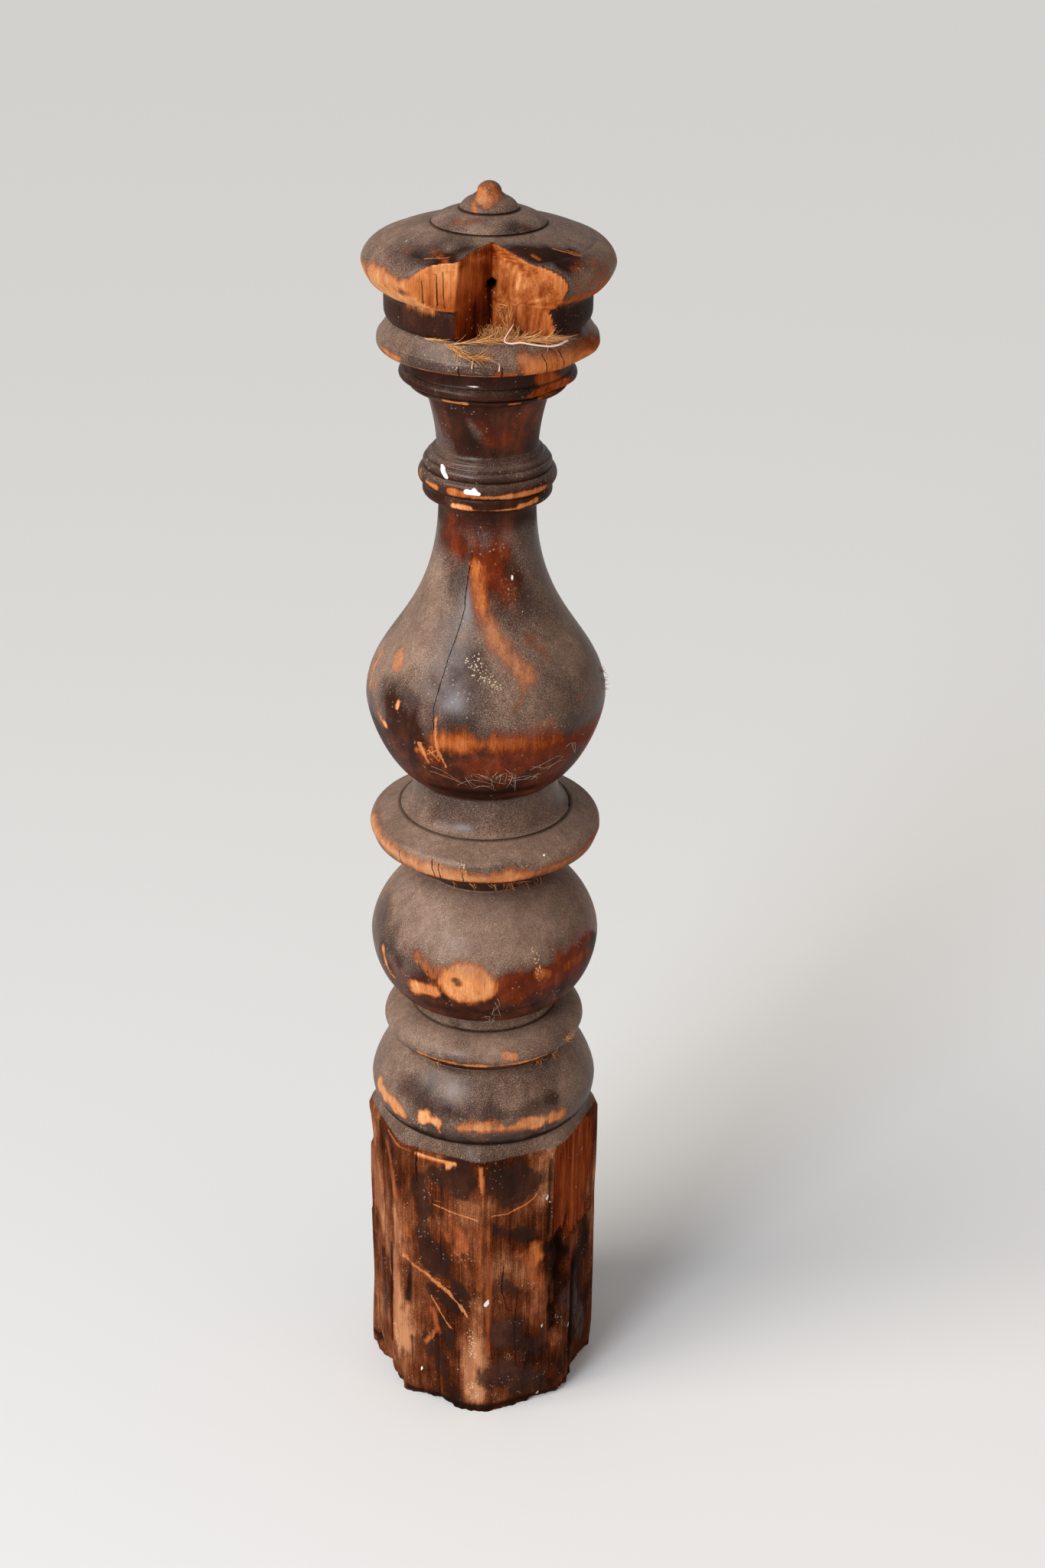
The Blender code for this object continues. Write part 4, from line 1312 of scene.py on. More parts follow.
    def build(self) -> bpy.types.Object:
        """Make the post's mesh with its looks as attributes.

        Returns:
            The object, at the origin and without a material yet.
        """
        points, looks = self.surface()
        rings, columns = self.skin.shape
        grid = np.arange(rings * columns).reshape(rings, columns)[:-1]
        below, above = grid[:-1], grid[1:]
        quads = np.stack([below, np.roll(below, -1, 1), np.roll(above, -1, 1), above], -1).reshape(-1, 4)
        used = (rings - 1) * columns
        verts = points.reshape(-1, 3)[:used].tolist() + [(0.0, 0.0, 0.0), (0.0, 0.0, self.top)]
        faces = quads.tolist()
        for index in range(columns):
            after = (index + 1) % columns
            faces.append((after, index, used))
            faces.append((used - columns + index, used - columns + after, used + 1))
        fields = {}
        for name, values in looks.items():
            fields[name] = np.concatenate([values.reshape(-1)[:used], [0.0, values[-1].mean()]])
        return make_piece("newel_post_skin", verts, faces, fields)

    def point(self, angle: float, height: float, lift: float = 0.0) -> Vector:
        """A place on the turned outline.

        Args:
            angle: Angle in degrees.
            height: Height in millimetres.
            lift: Distance out of the surface, in metres.

        Returns:
            The place in the post's frame.
        """
        radius = float(np.interp(height * MM, self.skin.height[:, 0], self.skin.radius[:, 0])) + lift
        turn = math.radians(angle)
        return Vector((radius * math.cos(turn), radius * math.sin(turn), height * MM))


def place(name: str, data: bpy.types.ID) -> bpy.types.Object:
    """Put a mesh, a light or a camera into the scene as an object at the origin."""
    piece = bpy.data.objects.new(name, data)
    bpy.context.scene.collection.objects.link(piece)
    return piece


def make_piece(name: str, verts: list, faces: list, fields: dict[str, Sequence[float]]) -> bpy.types.Object:
    """Make a smooth mesh as an object at the origin.

    Args:
        name: Name of the piece.
        verts: Its places.
        faces: Its faces, as numbers of places.
        fields: A number for each place, by the name that the material reads.

    Returns:
        The object, without a material yet.
    """
    mesh = bpy.data.meshes.new(name)
    mesh.from_pydata(verts, [], faces)
    for title, values in fields.items():
        layer = mesh.attributes.new(title, "FLOAT", "POINT")
        layer.data.foreach_set("value", np.asarray(values, np.float32))
    mesh.shade_smooth()
    mesh.update()
    return place(name, mesh)


@dataclass(frozen=True)
class Wisp:
    """A bundle of fibres that grow from a line.

    Places are in metres. Heading is where they point, and spread how far they stray from it as
    a share of their length. Curl is how far they turn, in radians. Thick is their diameter.
    """
    start: Point
    end: Point
    heading: Point
    length: float
    count: int
    spread: float = 0.4
    curl: float = 0.4
    thick: float = 0.0005
    steps: int = 6


class Fibres:
    """Loose fibres as thin tapered threads in one mesh."""

    def __init__(self, name: str, seed: int) -> None:
        """Start an empty bundle.

        Args:
            name: Name of the piece.
            seed: Picks the random bends.
        """
        self.name = name
        self.random = np.random.default_rng(seed)
        self.verts: list[Point] = []
        self.faces: list[tuple[int, ...]] = []
        self.shades: list[float] = []

    def thread(self, path: Sequence[Vector], thick: float, sides: int = 4, shade: float = 0.5,
               blunt: bool = False) -> None:
        """One tapered thread along a path.

        Args:
            path: Places that the thread follows.
            thick: Its diameter at the root.
            sides: Number of its sides.
            shade: How light it is, from 0 to 1, and higher for a pale one.
            blunt: Keep its thickness to the end.
        """
        base = len(self.verts)
        last = len(path) - 1
        for index, spot in enumerate(path):
            along = (path[min(index + 1, last)] - path[max(index - 1, 0)]).normalized()
            side = along.cross(Vector((0.31, 0.17, 0.93))).normalized()
            other = along.cross(side)
            radius = 0.5 * thick * (1.0 if blunt else 1.0 - 0.8 * (index / last))
            for turn in range(sides):
                angle = 2.0 * math.pi * turn / sides
                across, out = radius * math.cos(angle), radius * math.sin(angle)
                self.verts.append(tuple(spot + side * across + other * out))
                self.shades.append(shade)
        for index in range(last):
            for turn in range(sides):
                after = (turn + 1) % sides
                low, high = base + index * sides, base + (index + 1) * sides
                self.faces.append((low + turn, low + after, high + after, high + turn))
        self.faces.append(tuple(base + turn for turn in reversed(range(sides))))
        self.faces.append(tuple(base + last * sides + turn for turn in range(sides)))

    def wisp(self, wisp: Wisp) -> None:
        """Grow a bundle of fibres."""
        start, end, heading = Vector(wisp.start), Vector(wisp.end), Vector(wisp.heading).normalized()
        for _ in range(wisp.count):
            root = start.lerp(end, float(self.random.random()))
            stray = Vector(self.random.normal(0.0, 1.0, 3).tolist()) * wisp.spread
            axis = Vector(self.random.normal(0.0, 1.0, 3).tolist()).normalized()
            length = wisp.length * float(self.random.uniform(0.5, 1.1))
            turn = Quaternion(axis, wisp.curl * float(self.random.uniform(0.3, 1.2)) / wisp.steps)
            ahead = (heading + stray).normalized()
            path = [root]
            for _ in range(wisp.steps):
                path.append(path[-1] + ahead * (length / wisp.steps))
                ahead = turn @ ahead
            thick = wisp.thick * float(self.random.uniform(0.6, 1.3))
            self.thread(path, thick, shade=float(self.random.random()))

    def wisps(self, floor: float, rows: Sequence[tuple]) -> None:
        """Grow bundles over a floor.

        Args:
            floor: Its height.
            rows: A wisp's values for each, with heights counted from the floor.
        """
        for (x, y, rise), (end_x, end_y, end_rise), *rest in rows:
            self.wisp(Wisp((x, y, floor + rise), (end_x, end_y, floor + end_rise), *rest))

    def build(self) -> bpy.types.Object:
        """Make the piece."""
        return make_piece(self.name, self.verts, self.faces, {"shade": self.shades})


@dataclass
class TornFibres:
    """Splinters and tufts of the post's own wood, standing where it split.

    Each tuft has its angle, its height and its number of fibres.
    """
    post: NewelPost
    disc_rim: tuple[Row, ...] = (
        (-98, 508, 4), (-88, 507, 7), (-79, 507, 9), (-73, 507, 5), (-110, 508, 3), (-64, 509, 3))
    low_disc: tuple[Row, ...] = ((-121, 337, 6), (-57, 337, 8), (-47, 339, 8), (-36, 347, 12), (-33, 348, 8))
    bulb_side: tuple[Row, ...] = ((-4, 652, 10), (-6, 646, 8), (-8, 640, 5))

    def build(self) -> bpy.types.Object:
        """Make the splinters as one piece."""
        fibres = Fibres("torn_fibres", 5)
        fibres.wisps(self.post.floor + 1.0 * MM, (
            ((0.014, -0.057, 0.0), (0.018, -0.059, 0.0), (-0.22, -0.1, 1.0), 0.025, 46, 0.03, 0.9, 0.0010),
            ((0.0115, -0.058, 0.02), (0.015, -0.059, 0.025), (-0.9, -0.1, -0.1), 0.007, 26, 0.3, 1.5, 0.0008),
        ))
        self.tufts(fibres, self.disc_rim, (5, 0), (0.5, -0.6, -0.5), 0.010, 2.6, 0.0004)
        self.tufts(fibres, self.low_disc, (4, 0), (0.4, -0.7, -0.2), 0.009, 2.6, 0.0004)
        self.tufts(fibres, self.bulb_side, (1, 4), (1.0, -0.3, -0.2), 0.005, 2.5, 0.0005, 0.0)
        return fibres.build()

    def tufts(self, fibres: Fibres, rows: Sequence[Row], run: Place, heading: Point, length: float,
              curl: float, thick: float, lift: float = 0.0005) -> None:
        """Grow tufts on the post's outline.

        Args:
            fibres: The bundle that they join.
            rows: Angle, height and number of fibres of each tuft.
            run: How far each tuft runs on, in degrees and millimetres.
            heading: Where the fibres point.
            length: Their length.
            curl: How far they turn.
            thick: Their thickness.
            lift: How far out of the surface they start.
        """
        for angle, height, count in rows:
            spot = self.post.point(angle, height, lift)
            near = self.post.point(angle + run[0], height + run[1], lift)
            fibres.wisp(Wisp(tuple(spot), tuple(near), heading, length, count, 0.5, curl, thick))


@dataclass
class CaughtStraw:
    """Straw, lint and a pale strand caught on the floor of the rail housing.

    The straw is wisps. Its heights and the strand's are counted from the housing's floor, and
    the lint's from the ground.
    """
    post: NewelPost
    straw: tuple[tuple, ...] = (
        ((-0.004, -0.053, 0.0), (0.016, -0.061, 0.0), (0.6, -0.3, 0.12), 0.016, 320, 0.5, 8.0, 0.0005, 9),
        ((0.001, -0.056, 0.003), (0.016, -0.061, 0.003), (-0.2, -0.4, 0.3), 0.010, 260, 0.8, 9.0, 0.0005, 9),
        ((-0.010, -0.062, 0.0), (0.022, -0.066, 0.0), (0.9, -0.15, 0.10), 0.016, 150, 0.3, 2.5, 0.0004, 8),
        ((-0.024, -0.072, -0.001), (0.004, -0.066, 0.0), (1.0, 0.1, 0.05), 0.024, 50, 0.10, 0.7, 0.0006),
        ((-0.03, -0.071, -0.001), (-0.022, -0.074, -0.002), (0.5, -0.6, -0.15), 0.020, 36, 0.25, 1.2, 0.0006),
        ((-0.044, -0.062, 0.0), (-0.034, -0.067, 0.0), (1.0, -0.35, 0.0), 0.020, 16, 0.08, 0.4, 0.0006),
        ((-0.020, -0.078, -0.007), (-0.006, -0.08, -0.009), (1.0, -0.1, 0.0), 0.018, 56, 0.18, 1.4, 0.0006),
        ((0.016, -0.066, 0.0), (0.030, -0.066, 0.0), (1.0, 0.05, 0.02), 0.030, 46, 0.06, 0.4, 0.0006),
        ((0.012, -0.060, 0.0), (0.040, -0.064, 0.0), (0.9, 0.1, 0.10), 0.020, 70, 0.25, 2.0, 0.0005),
        ((0.044, -0.064, 0.0), (0.050, -0.062, 0.0), (1.0, 0.45, 0.08), 0.020, 8, 0.06, 0.3, 0.0006),
    )
    strand: tuple[Point, ...] = (
        (0.0185, -0.0590, 0.0100), (0.0150, -0.0655, 0.0060), (0.0125, -0.0705, 0.0030),
        (0.0128, -0.0735, 0.0014), (0.0170, -0.0745, 0.0010), (0.0230, -0.0732, 0.0014),
        (0.0300, -0.0728, 0.0002), (0.0370, -0.0712, -0.0012), (0.0440, -0.0690, -0.0022),
        (0.0500, -0.0655, -0.0020), (0.0545, -0.0605, -0.0010), (0.0560, -0.0585, -0.0010),
    )
    left_lint: tuple[Point, ...] = (
        (-0.0100, -0.0812, 0.9140), (-0.0096, -0.0805, 0.9178), (-0.0088, -0.0790, 0.9215))
    right_lint: tuple[Point, ...] = (
        (0.0088, -0.0812, 0.9125), (0.0092, -0.0808, 0.9160), (0.0086, -0.0805, 0.9180))

    def build(self) -> bpy.types.Object:
        """Make the caught fibres as one piece."""
        fibres = Fibres("caught_straw", 9)
        floor = self.post.floor + 1.6 * MM
        fibres.wisps(floor, self.straw)
        strand = [(x, y, floor + rise) for x, y, rise in self.strand]
        fibres.thread(smoothed(strand, 4), 0.9 * MM, 6, 3.0, True)
        beside = [(x + 0.0006, y - 0.0009, z - 0.0002) for x, y, z in strand[3:]]
        fibres.thread(smoothed(beside, 4), 0.7 * MM, 5, 3.0, True)
        fibres.thread(smoothed(self.left_lint, 2), 1.0 * MM, 5, 0.9)
        fibres.thread(smoothed(self.right_lint, 2), 1.1 * MM, 5, 3.0)
        return fibres.build()


@dataclass
class WebThreads:
    """Cobweb and lint that hangs under the bulb and down the ball.

    Each run has the angle and height of both ends, and the number of threads.
    """
    post: NewelPost
    runs: tuple[Row, ...] = (
        (-92, 602, -84, 592, 2), (-84, 603, -78, 590, 3), (-76, 604, -74, 588, 4), (-74, 594, -60, 594, 3),
        (-102, 594, -84, 589, 3), (-62, 602, -48, 607, 3), (-118, 600, -102, 592, 2), (-45, 614, -38, 606, 2),
        (-84, 404, -84, 388, 3), (-85, 388, -84, 378, 3), (-84, 378, -82, 366, 3), (-88, 372, -80, 369, 2),
    )
    stray: float = 0.0034
    thick: float = 0.20 * MM

    def build(self) -> bpy.types.Object:
        """Make the threads as one piece."""
        fibres = Fibres("web_threads", 14)
        for angle, height, end_angle, end_height, count in self.runs:
            first = self.post.point(angle, height, 0.0006)
            last = self.post.point(end_angle, end_height, 0.0010)
            for _ in range(count):
                stray = fibres.random.normal(0.0, self.stray, (4, 3))
                path = []
                for step in range(4):
                    spot = first.lerp(last, step / 3.0) + Vector(stray[step].tolist())
                    turn = math.degrees(math.atan2(spot.y, spot.x))
                    shell = self.post.point(turn, spot.z / MM, 0.0008)
                    path.append((shell.x, shell.y, spot.z))
                fibres.thread(smoothed(path, 2), self.thick, 3, 2.0, True)
        return fibres.build()


def smoothed(path: Sequence[Point], steps: int) -> list[Vector]:
    """A path rounded through its places.

    Args:
        path: Places in order.
        steps: Number of steps between two of them.

    Returns:
        The finer path.
    """
    places = [Vector(p) for p in path]
    padded = [places[0] * 2.0 - places[1], *places, places[-1] * 2.0 - places[-2]]
    fine = []
    for a, b, c, d in zip(padded, padded[1:], padded[2:], padded[3:]):
        for step in range(steps):
            t = step / steps
            fine.append(0.5 * (b * 2.0 + (c - a) * t + (a * 2.0 - b * 5.0 + c * 4.0 - d) * t ** 2
                               + (b * 3.0 - a - c * 3.0 + d) * t ** 3))
    fine.append(places[-1])
    return fine


class Signal:
    """A number that varies over the surface, for writing shader maths as expressions."""

    def __init__(self, nodes: "Nodes", socket: Socket) -> None:
        """Wrap an output socket."""
        self.nodes = nodes
        self.socket = socket

    def math(self, operation: str, *values: Number, clamp: bool = False) -> "Signal":
        """The result of one Math node."""
        settings = {"operation": operation, "use_clamp": clamp}
        node = self.nodes.node("ShaderNodeMath", settings, dict(enumerate(values)))
        return Signal(self.nodes, node.outputs[0])

    def __add__(self, other: Number) -> "Signal":
        """Sum."""
        return self.math("ADD", self, other)

    __radd__ = __add__

    def __sub__(self, other: Number) -> "Signal":
        """Difference."""
        return self.math("SUBTRACT", self, other)

    def __rsub__(self, other: Number) -> "Signal":
        """Difference, this one taken away."""
        return self.math("SUBTRACT", other, self)

    def __mul__(self, other: Number) -> "Signal":
        """Product."""
        return self.math("MULTIPLY", self, other)

    __rmul__ = __mul__

    def size(self) -> "Signal":
        """Without its sign."""
        return self.math("ABSOLUTE", self)

    def clip(self) -> "Signal":
        """Kept between 0 and 1."""
        return self.math("ADD", self, 0.0, clamp=True)

    def sway(self, amount: float) -> "Signal":
        """Noise about 0.5 turned into a sway about 0, this strong."""
        return (self - 0.5) * amount

    def step(self, low: float, high: float) -> "Signal":
        """0 below low, 1 above high, and a smooth rise between them."""
        settings = {"interpolation_type": "SMOOTHSTEP"}
        inputs = {"Value": self, "From Min": low, "From Max": high}
        node = self.nodes.node("ShaderNodeMapRange", settings, inputs)
        return Signal(self.nodes, node.outputs["Result"])

    def over(self, other: "Signal") -> "Signal":
        """How much shows of two layers that each hide what lies under them."""
        return 1.0 - (1.0 - other) * (1.0 - self)


class Nodes:
    """Builds the node tree of one material."""

    def __init__(self, name: str) -> None:
        """Start a material with a Principled shader."""
        self.material = bpy.data.materials.new(name)
        self.material.use_nodes = True
        self.tree = self.material.node_tree
        self.shader = self.tree.nodes["Principled BSDF"]
        self.place = self.node("ShaderNodeTexCoord", {}, {}).outputs["Object"]

    def node(self, kind: str, settings: dict, inputs: dict) -> bpy.types.Node:
        """Add a node.

        Args:
            kind: The node's type.
            settings: Its properties, set first. A ramp's stops are given as "stops".
            inputs: Values, signals or sockets, by the name or number of the input.

        Returns:
            The node.
        """
        node = self.tree.nodes.new(kind)
        for name, value in settings.items():
            if name == "stops":
                self.set_stops(node.color_ramp, value)
            else:
                setattr(node, name, value)
        self.feed(node, inputs)
        return node

    def feed(self, node: bpy.types.Node, inputs: dict) -> None:
        """Set a node's inputs to values, or link them to signals or sockets."""
        for key, value in inputs.items():
            if isinstance(value, Signal):
                value = value.socket
            if isinstance(value, Socket):
                self.tree.links.new(value, node.inputs[key])
            else:
                node.inputs[key].default_value = value

    def dress(self, mesh: bpy.types.Mesh, inputs: dict) -> None:
        """Finish the shader with its inputs, and give a mesh the material."""
        self.feed(self.shader, inputs)
        mesh.materials.append(self.material)

    @staticmethod
    def set_stops(ramp: bpy.types.ColorRamp, stops: Stops) -> None:
        """Give a colour ramp its stops."""
        while len(ramp.elements) < len(stops):
            ramp.elements.new(1.0)
        for element, (position, colour) in zip(ramp.elements, stops):
            element.position = position
            element.color = colour

    def attribute(self, name: str) -> Signal:
        """A field that the mesh carries."""
        node = self.node("ShaderNodeAttribute", {"attribute_name": name}, {})
        return Signal(self, node.outputs["Fac"])

    def noise(self, across: float, along: float, detail: float = 2.0, rough: float = 0.5,
              warp: float = 0.0) -> Signal:
        """Noise with its own scale across and along the grain, about 0.5."""
        scaled = {"Vector": self.place, "Scale": (across, across, along)}
        mapping = self.node("ShaderNodeMapping", {}, scaled)
        inputs = {"Vector": mapping.outputs[0], "Scale": 1.0}
        inputs |= {"Detail": detail, "Roughness": rough, "Distortion": warp}
        return Signal(self, self.node("ShaderNodeTexNoise", {}, inputs).outputs["Fac"])

    def specks(self, scale: float, size: float) -> Signal:
        """Small round dots, 1 inside them."""
        inputs = {"Vector": self.place, "Scale": scale}
        node = self.node("ShaderNodeTexVoronoi", {}, inputs)
        return 1.0 - Signal(self, node.outputs["Distance"]).step(size * 0.6, size)

    def hairline(self, name: str, wander: Signal, fray: Signal) -> Signal:
        """A thin line from its signed distance, 1 on the line.

        Args:
            name: The distance's attribute.
            wander: Noise that moves the line sideways.
            fray: Noise that changes its width.

        Returns:
            How much of the line shows.
        """
        off = (self.attribute(name) + wander.sway(5.0)).size() + fray.sway(2.4)
        return (1.0 - off.step(0.40, 1.25)) * self.attribute(name + "_on").step(0.30, 0.60)

    def ramp(self, factor: Signal, colours: Sequence[Colour], low: float, high: float) -> Socket:
        """A colour picked by a number, from colours spread evenly over part of a ramp."""
        last = len(colours) - 1
        stops = [(low + (high - low) * index / last, colour) for index, colour in enumerate(colours)]
        return self.node("ShaderNodeValToRGB", {"stops": stops}, {"Fac": factor}).outputs["Color"]

    def mix(self, factor: Signal, first: object, second: object) -> Socket:
        """One colour laid over another."""
        inputs = {"Factor": factor, 6: first, 7: second}
        return self.node("ShaderNodeMix", {"data_type": "RGBA"}, inputs).outputs[2]


@dataclass(frozen=True)
class AgedWood:
    """Dark old finish on wood, dusty, rubbed through to bare wood and eaten at the foot."""
    finish: tuple[Colour, ...] = palette((26, 10, 4), (47, 22, 12), (84, 50, 37))
    red: tuple[Colour, ...] = palette((54, 15, 2), (96, 34, 8), (138, 68, 36))
    dust: tuple[Colour, ...] = palette((74, 54, 42), (128, 102, 86), (188, 158, 136))
    eaten: tuple[Colour, ...] = palette((32, 10, 2), (78, 34, 12), (122, 68, 40), (184, 126, 88))
    bare: tuple[Colour, ...] = palette(
        (44, 12, 2), (104, 37, 5), (152, 76, 32), (192, 116, 64), (228, 164, 110))
    paint: Colour = srgb(236, 232, 226)
    lint: Colour = srgb(206, 184, 150)
    grime: Colour = srgb(26, 12, 7)
    gloss_roughness: float = 0.30
    specular: float = 0.03
    bump_strength: float = 0.65
    bump_height: float = 0.0012

    def dress(self, piece: bpy.types.Object) -> None:
        """Give the post its material."""
        nodes = Nodes("aged_wood")
        names = ("bare", "tone", "red", "black", "dust", "paint", "grime", "pale", "foot")
        look = {name: nodes.attribute(name) for name in names}
        streak = nodes.noise(210.0, 12.0, 5.0, 0.65, 0.3)
        thread = nodes.noise(1100.0, 40.0, 3.0, 0.6)
        figure = nodes.noise(40.0, 9.0, 5.0, 0.65, 0.8)
        blotch = nodes.noise(26.0, 20.0, 5.0, 0.65)
        ragged = nodes.noise(160.0, 90.0, 5.0, 0.7)
        grit = nodes.noise(1500.0, 1500.0, 2.0, 0.8)
        smear = nodes.noise(70.0, 34.0, 5.0, 0.7, 0.8)
        edge = ragged.sway(0.95) + thread.sway(0.45) + grit.sway(0.45) + smear.sway(0.5)

        # The old finish, redder in places
        finish = nodes.ramp(blotch * 0.6 + figure * 0.4 + grit.sway(0.5), self.finish, 0.30, 0.72)
        reddish = nodes.ramp(figure * 0.4 + smear * 0.6 + grit.sway(0.4), self.red, 0.28, 0.74)
        coat = nodes.mix((look["red"] + blotch.sway(0.9) + smear.sway(0.7)).step(0.25, 0.85), finish, reddish)

        # Dust that lies on it
        powder = nodes.ramp(blotch * 0.20 + grit * 0.60 + ragged * 0.20, self.dust, 0.32, 0.68)
        spread = look["dust"] + blotch.sway(0.30) + smear.sway(0.24) + grit.sway(1.5)
        settled = spread.step(0.14, 0.86) * look["dust"].step(0.0, 0.22)
        coat = nodes.mix(settled * 0.92, coat, powder)

        # The eaten wood of the foot, with what is left of its finish
        weathered = (look["dust"] - 0.3) * 0.5
        fibre = streak * 0.36 + figure * 0.36 + thread * 0.28 + blotch.sway(0.7) + grit.sway(0.6) + weathered
        kept = (look["black"] + edge * 0.95).step(0.32, 0.66)
        eaten = nodes.mix(kept * 0.90, nodes.ramp(fibre, self.eaten, 0.32, 0.76), finish)
        on_foot = look["foot"].step(0.90, 1.0)
        coat = nodes.mix(on_foot, coat, eaten)

        # Bare wood where it is worn, split, cut or scratched
        scratch = nodes.hairline("scratch", smear, ragged)
        depth = (look["bare"] + edge * 0.25).step(0.35, 1.0)
        shade = look["tone"] * (0.60 + 0.40 * depth) * (1.0 - scratch) + scratch * 0.76
        shade = shade + streak.sway(0.50) + thread.sway(0.35) + figure.sway(0.35) + smear.sway(0.40)
        wood = nodes.ramp((shade + grit.sway(0.25)).clip(), self.bare, 0.0, 1.0)
        worn = (look["bare"] + edge * 0.70 + streak.sway(0.40)).step(0.30, 0.76)
        worn = (scratch * 0.9).over(worn)
        coat = nodes.mix(worn, coat, wood)
        coat = nodes.mix(settled * worn * 0.42, coat, powder)

        # Crumbs, flecks, dirt and painted shade in grooves, hollows and cracks, and daubs of paint
        fleck = nodes.specks(300.0, 0.26) * (nodes.noise(60.0, 60.0, 2.0) - 0.55).step(0.0, 0.10) * 0.5
        littered = (look["pale"] + smear.sway(0.9) + grit.sway(0.6)).step(0.40, 0.62)
        crumbs = nodes.specks(520.0, 0.40) * littered
        coat = nodes.mix((crumbs * 0.9 + fleck * 0.6).clip(), coat, self.lint)
        dirt_and_shade = (look["grime"] + ragged.sway(0.5) + grit.sway(0.4)).step(0.20, 0.95)
        dirt_and_shade = nodes.hairline("crack", smear, thread).over(dirt_and_shade)
        coat = nodes.mix(dirt_and_shade * 0.90, coat, self.grime)
        daub = (look["paint"] + edge * 0.25).step(0.44, 0.54)
        coat = nodes.mix(daub, coat, self.paint)

        # Shine only where the finish is whole and nearly clean
        raw = (on_foot * (1.0 - kept)).over(worn)
        rough = (0.52 + settled * 0.30 + grit.sway(0.16)).clip()
        sheen = look["dust"].step(0.08, 0.32) * (1.0 - look["foot"]) * 0.55 + 0.10
        grain = (thread * 0.6 + streak * 1.3) * (worn + look["foot"] * 1.1 * (1.0 - kept * 0.7)).clip()
        relief = grain + settled * grit * 0.45 + smear * 0.25 + blotch * 0.2
        relief = relief - worn * 0.35 + daub * 0.5 - dirt_and_shade * 0.3
        raised = {"Height": relief, "Strength": self.bump_strength, "Distance": self.bump_height}
        nodes.dress(piece.data, {
            "Base Color": coat,
            "Roughness": rough + (0.80 - rough) * raw,
            "Coat Weight": (1.0 - raw) * (1.0 - settled * 0.75) * (1.0 - dirt_and_shade) * sheen,
            "Coat Roughness": self.gloss_roughness,
            "Specular IOR Level": self.specular,
            "Normal": nodes.node("ShaderNodeBump", {}, raised).outputs[0],
        })


@dataclass(frozen=True)
class FibreFinish:
    """Dry fibres, from brown straw to pale lint."""
    name: str
    colours: tuple[Colour, ...]
    pale: Colour

    def dress(self, piece: bpy.types.Object) -> None:
        """Give a bundle of fibres its material."""
        nodes = Nodes(self.name)
        shade = nodes.attribute("shade")
        mottle = nodes.noise(500.0, 500.0, 2.0)
        straw = nodes.ramp((shade + mottle.sway(0.5)).clip(), self.colours, 0.0, 1.0)
        colour = nodes.mix(shade.step(1.4, 1.9), straw, self.pale)
        nodes.dress(piece.data, {"Base Color": colour, "Roughness": 0.72 + mottle * 0.2})


@dataclass(frozen=True)
class Lamp:
    """A soft square light: where it hangs, what it faces, its side, watts and colour."""
    name: str
    spot: Point
    target: Point
    size: float
    power: float
    colour: Colour

    def hang(self) -> None:
        """Hang the light."""
        light = bpy.data.lights.new(self.name, "AREA")
        light.shape = "SQUARE"
        light.size = self.size
        light.energy = self.power
        light.color = self.colour[:3]
        lamp = place(self.name, light)
        aim = (Vector(self.target) - Vector(self.spot)).to_track_quat("-Z", "Y")
        lamp.matrix_world = Matrix.Translation(self.spot) @ aim.to_matrix().to_4x4()


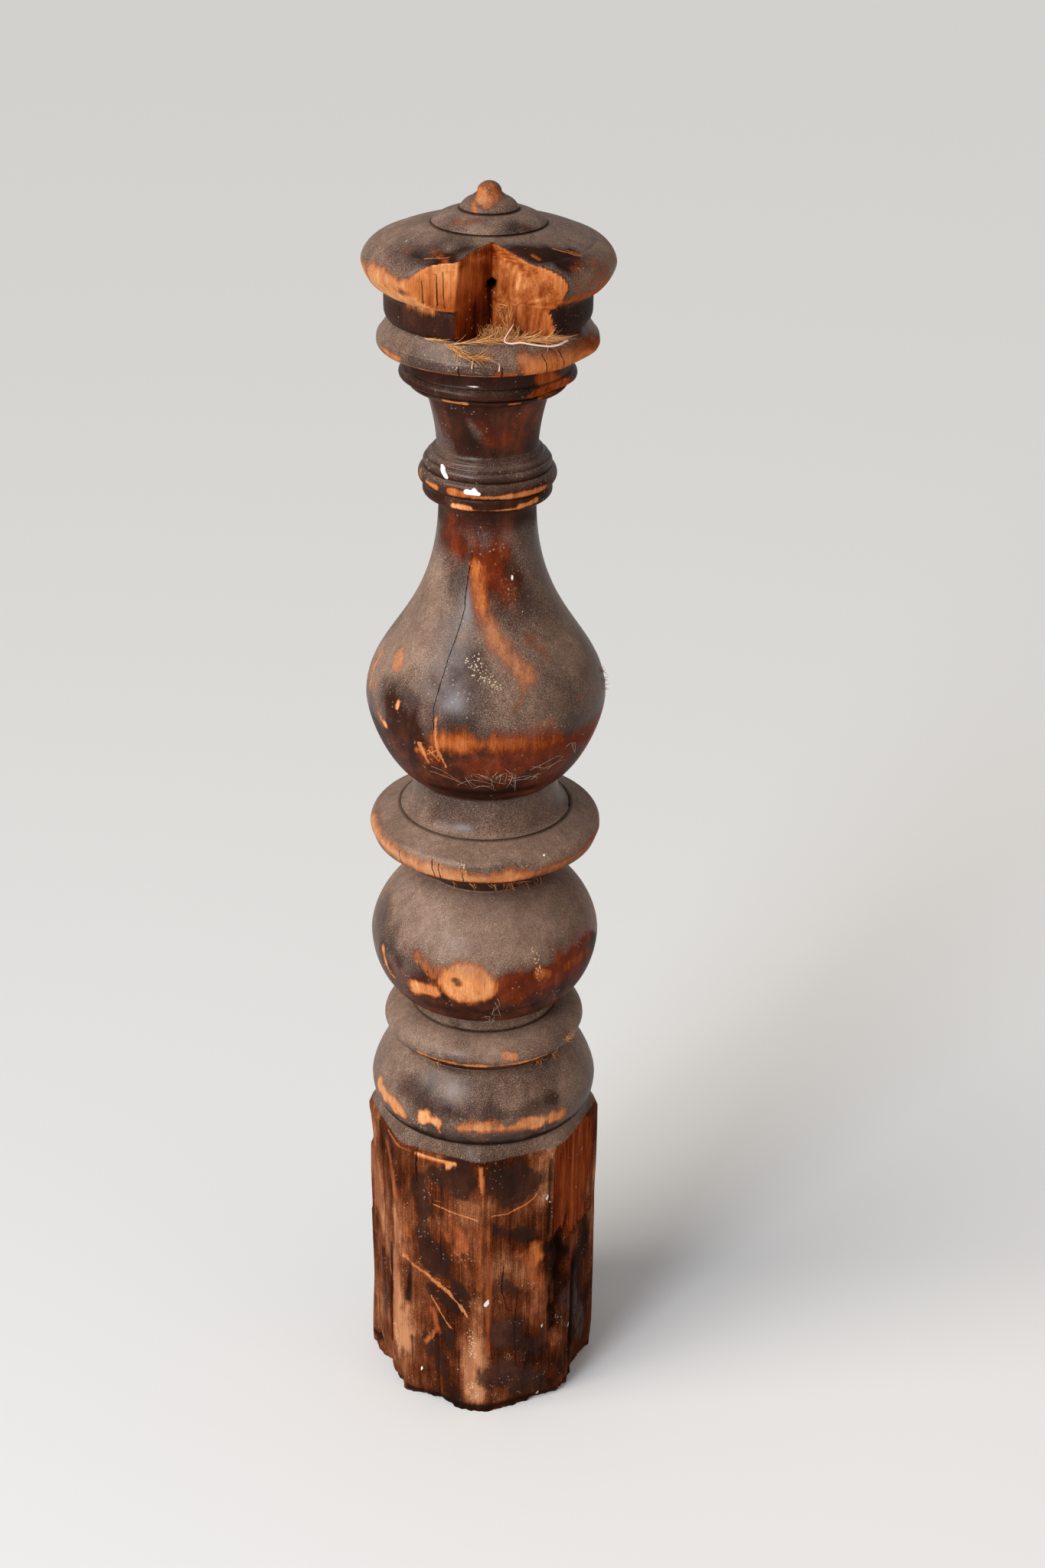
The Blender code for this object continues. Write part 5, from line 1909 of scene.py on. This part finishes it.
@dataclass(frozen=True)
class Studio:
    """The plain pale floor, the soft light and the camera."""
    floor_size: float = 30.0
    floor_tone: Colour = srgb(222, 221, 218)
    floor_roughness: float = 0.85
    lamps: tuple[Lamp, ...] = (
        Lamp("window", (-1.25, -2.05, 1.65), (0.0, 0.0, 0.6), 0.7, 38.0, srgb(232, 240, 255)),
        Lamp("warm_bounce", (1.5, -1.1, 0.7), (0.0, 0.0, 0.5), 1.2, 4.5, srgb(255, 200, 148)),
    )
    sun_way: Point = (1.0, 0.62, -1.0)
    sun_power: float = 2.55
    sun_spread: float = 42.0
    sun_tone: Colour = srgb(255, 251, 245)
    room_tone: Colour = srgb(240, 242, 246)
    room_power: float = 0.42
    camera: Point = (0.029, -1.765, 1.451)
    pitch: float = 63.0
    roll: float = 0.8
    lens: float = 58.0
    long_side: float = 36.0

    def lay_floor(self) -> None:
        """Lay the floor."""
        half = 0.5 * self.floor_size
        corners = [(-half, -half, 0.0), (half, -half, 0.0), (half, half, 0.0), (-half, half, 0.0)]
        mesh = bpy.data.meshes.new("floor")
        mesh.from_pydata(corners, [], [(0, 1, 2, 3)])
        nodes = Nodes("pale_floor")
        nodes.dress(mesh, {"Base Color": self.floor_tone, "Roughness": self.floor_roughness})
        place("floor", mesh)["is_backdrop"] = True

    def light(self) -> None:
        """Hang the lamps, and let daylight and the room's own light in."""
        for lamp in self.lamps:
            lamp.hang()
        daylight = bpy.data.lights.new("daylight", "SUN")
        daylight.energy = self.sun_power
        daylight.angle = math.radians(self.sun_spread)
        daylight.color = self.sun_tone[:3]
        sun = place("daylight", daylight)
        sun.matrix_world = Vector(self.sun_way).to_track_quat("-Z", "Y").to_matrix().to_4x4()
        world = bpy.data.worlds.new("soft_room")
        world.use_nodes = True
        background = world.node_tree.nodes["Background"]
        background.inputs["Color"].default_value = self.room_tone
        background.inputs["Strength"].default_value = self.room_power
        bpy.context.scene.world = world

    def aim_camera(self) -> None:
        """Set up the camera and plain view colours."""
        scene = bpy.context.scene
        scene.view_settings.view_transform = "Standard"
        scene.view_settings.look = "None"
        data = bpy.data.cameras.new("camera")
        data.lens = self.lens
        data.sensor_fit = "VERTICAL"
        data.sensor_height = self.long_side
        camera = place("camera", data)
        tip = Matrix.Rotation(math.radians(self.pitch), 4, "X")
        turn = Matrix.Rotation(math.radians(self.roll), 4, "Z")
        camera.matrix_world = Matrix.Translation(self.camera) @ (tip @ turn)
        scene.camera = camera

    def build(self) -> None:
        """Set up floor, light and camera."""
        self.lay_floor()
        self.light()
        self.aim_camera()


WOOD_FIBRE = FibreFinish(
    "torn_fibre", palette((120, 62, 26), (190, 110, 50), (224, 158, 92)), srgb(232, 220, 200))
STRAW = FibreFinish("straw", palette((146, 86, 38), (206, 140, 76), (236, 188, 126)), srgb(232, 200, 184))
WEB = FibreFinish("lint", palette((150, 120, 96), (190, 164, 136)), srgb(196, 172, 148))


def main() -> None:
    """Build the post and what is caught on it, and set up the studio."""
    logging.basicConfig(level=logging.INFO, format="%(name)s: %(message)s")
    post = NewelPost()
    skin = post.build()
    AgedWood().dress(skin)
    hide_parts("newel_post")
    pieces = [skin]
    for kind, finish in ((TornFibres, WOOD_FIBRE), (CaughtStraw, STRAW), (WebThreads, WEB)):
        piece = kind(post).build()
        finish.dress(piece)
        pieces.append(piece)
    for piece in pieces:
        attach(piece, "root")
        LOG.info("%s: %d faces", piece.name, len(piece.data.polygons))
    Studio().build()


if __name__ == "__main__":
    main()
    SIZES = {"cad": CAD_BOX, "visual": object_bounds()}
    {name: [list(map(float, corner)) for corner in box] for name, box in SIZES.items()}
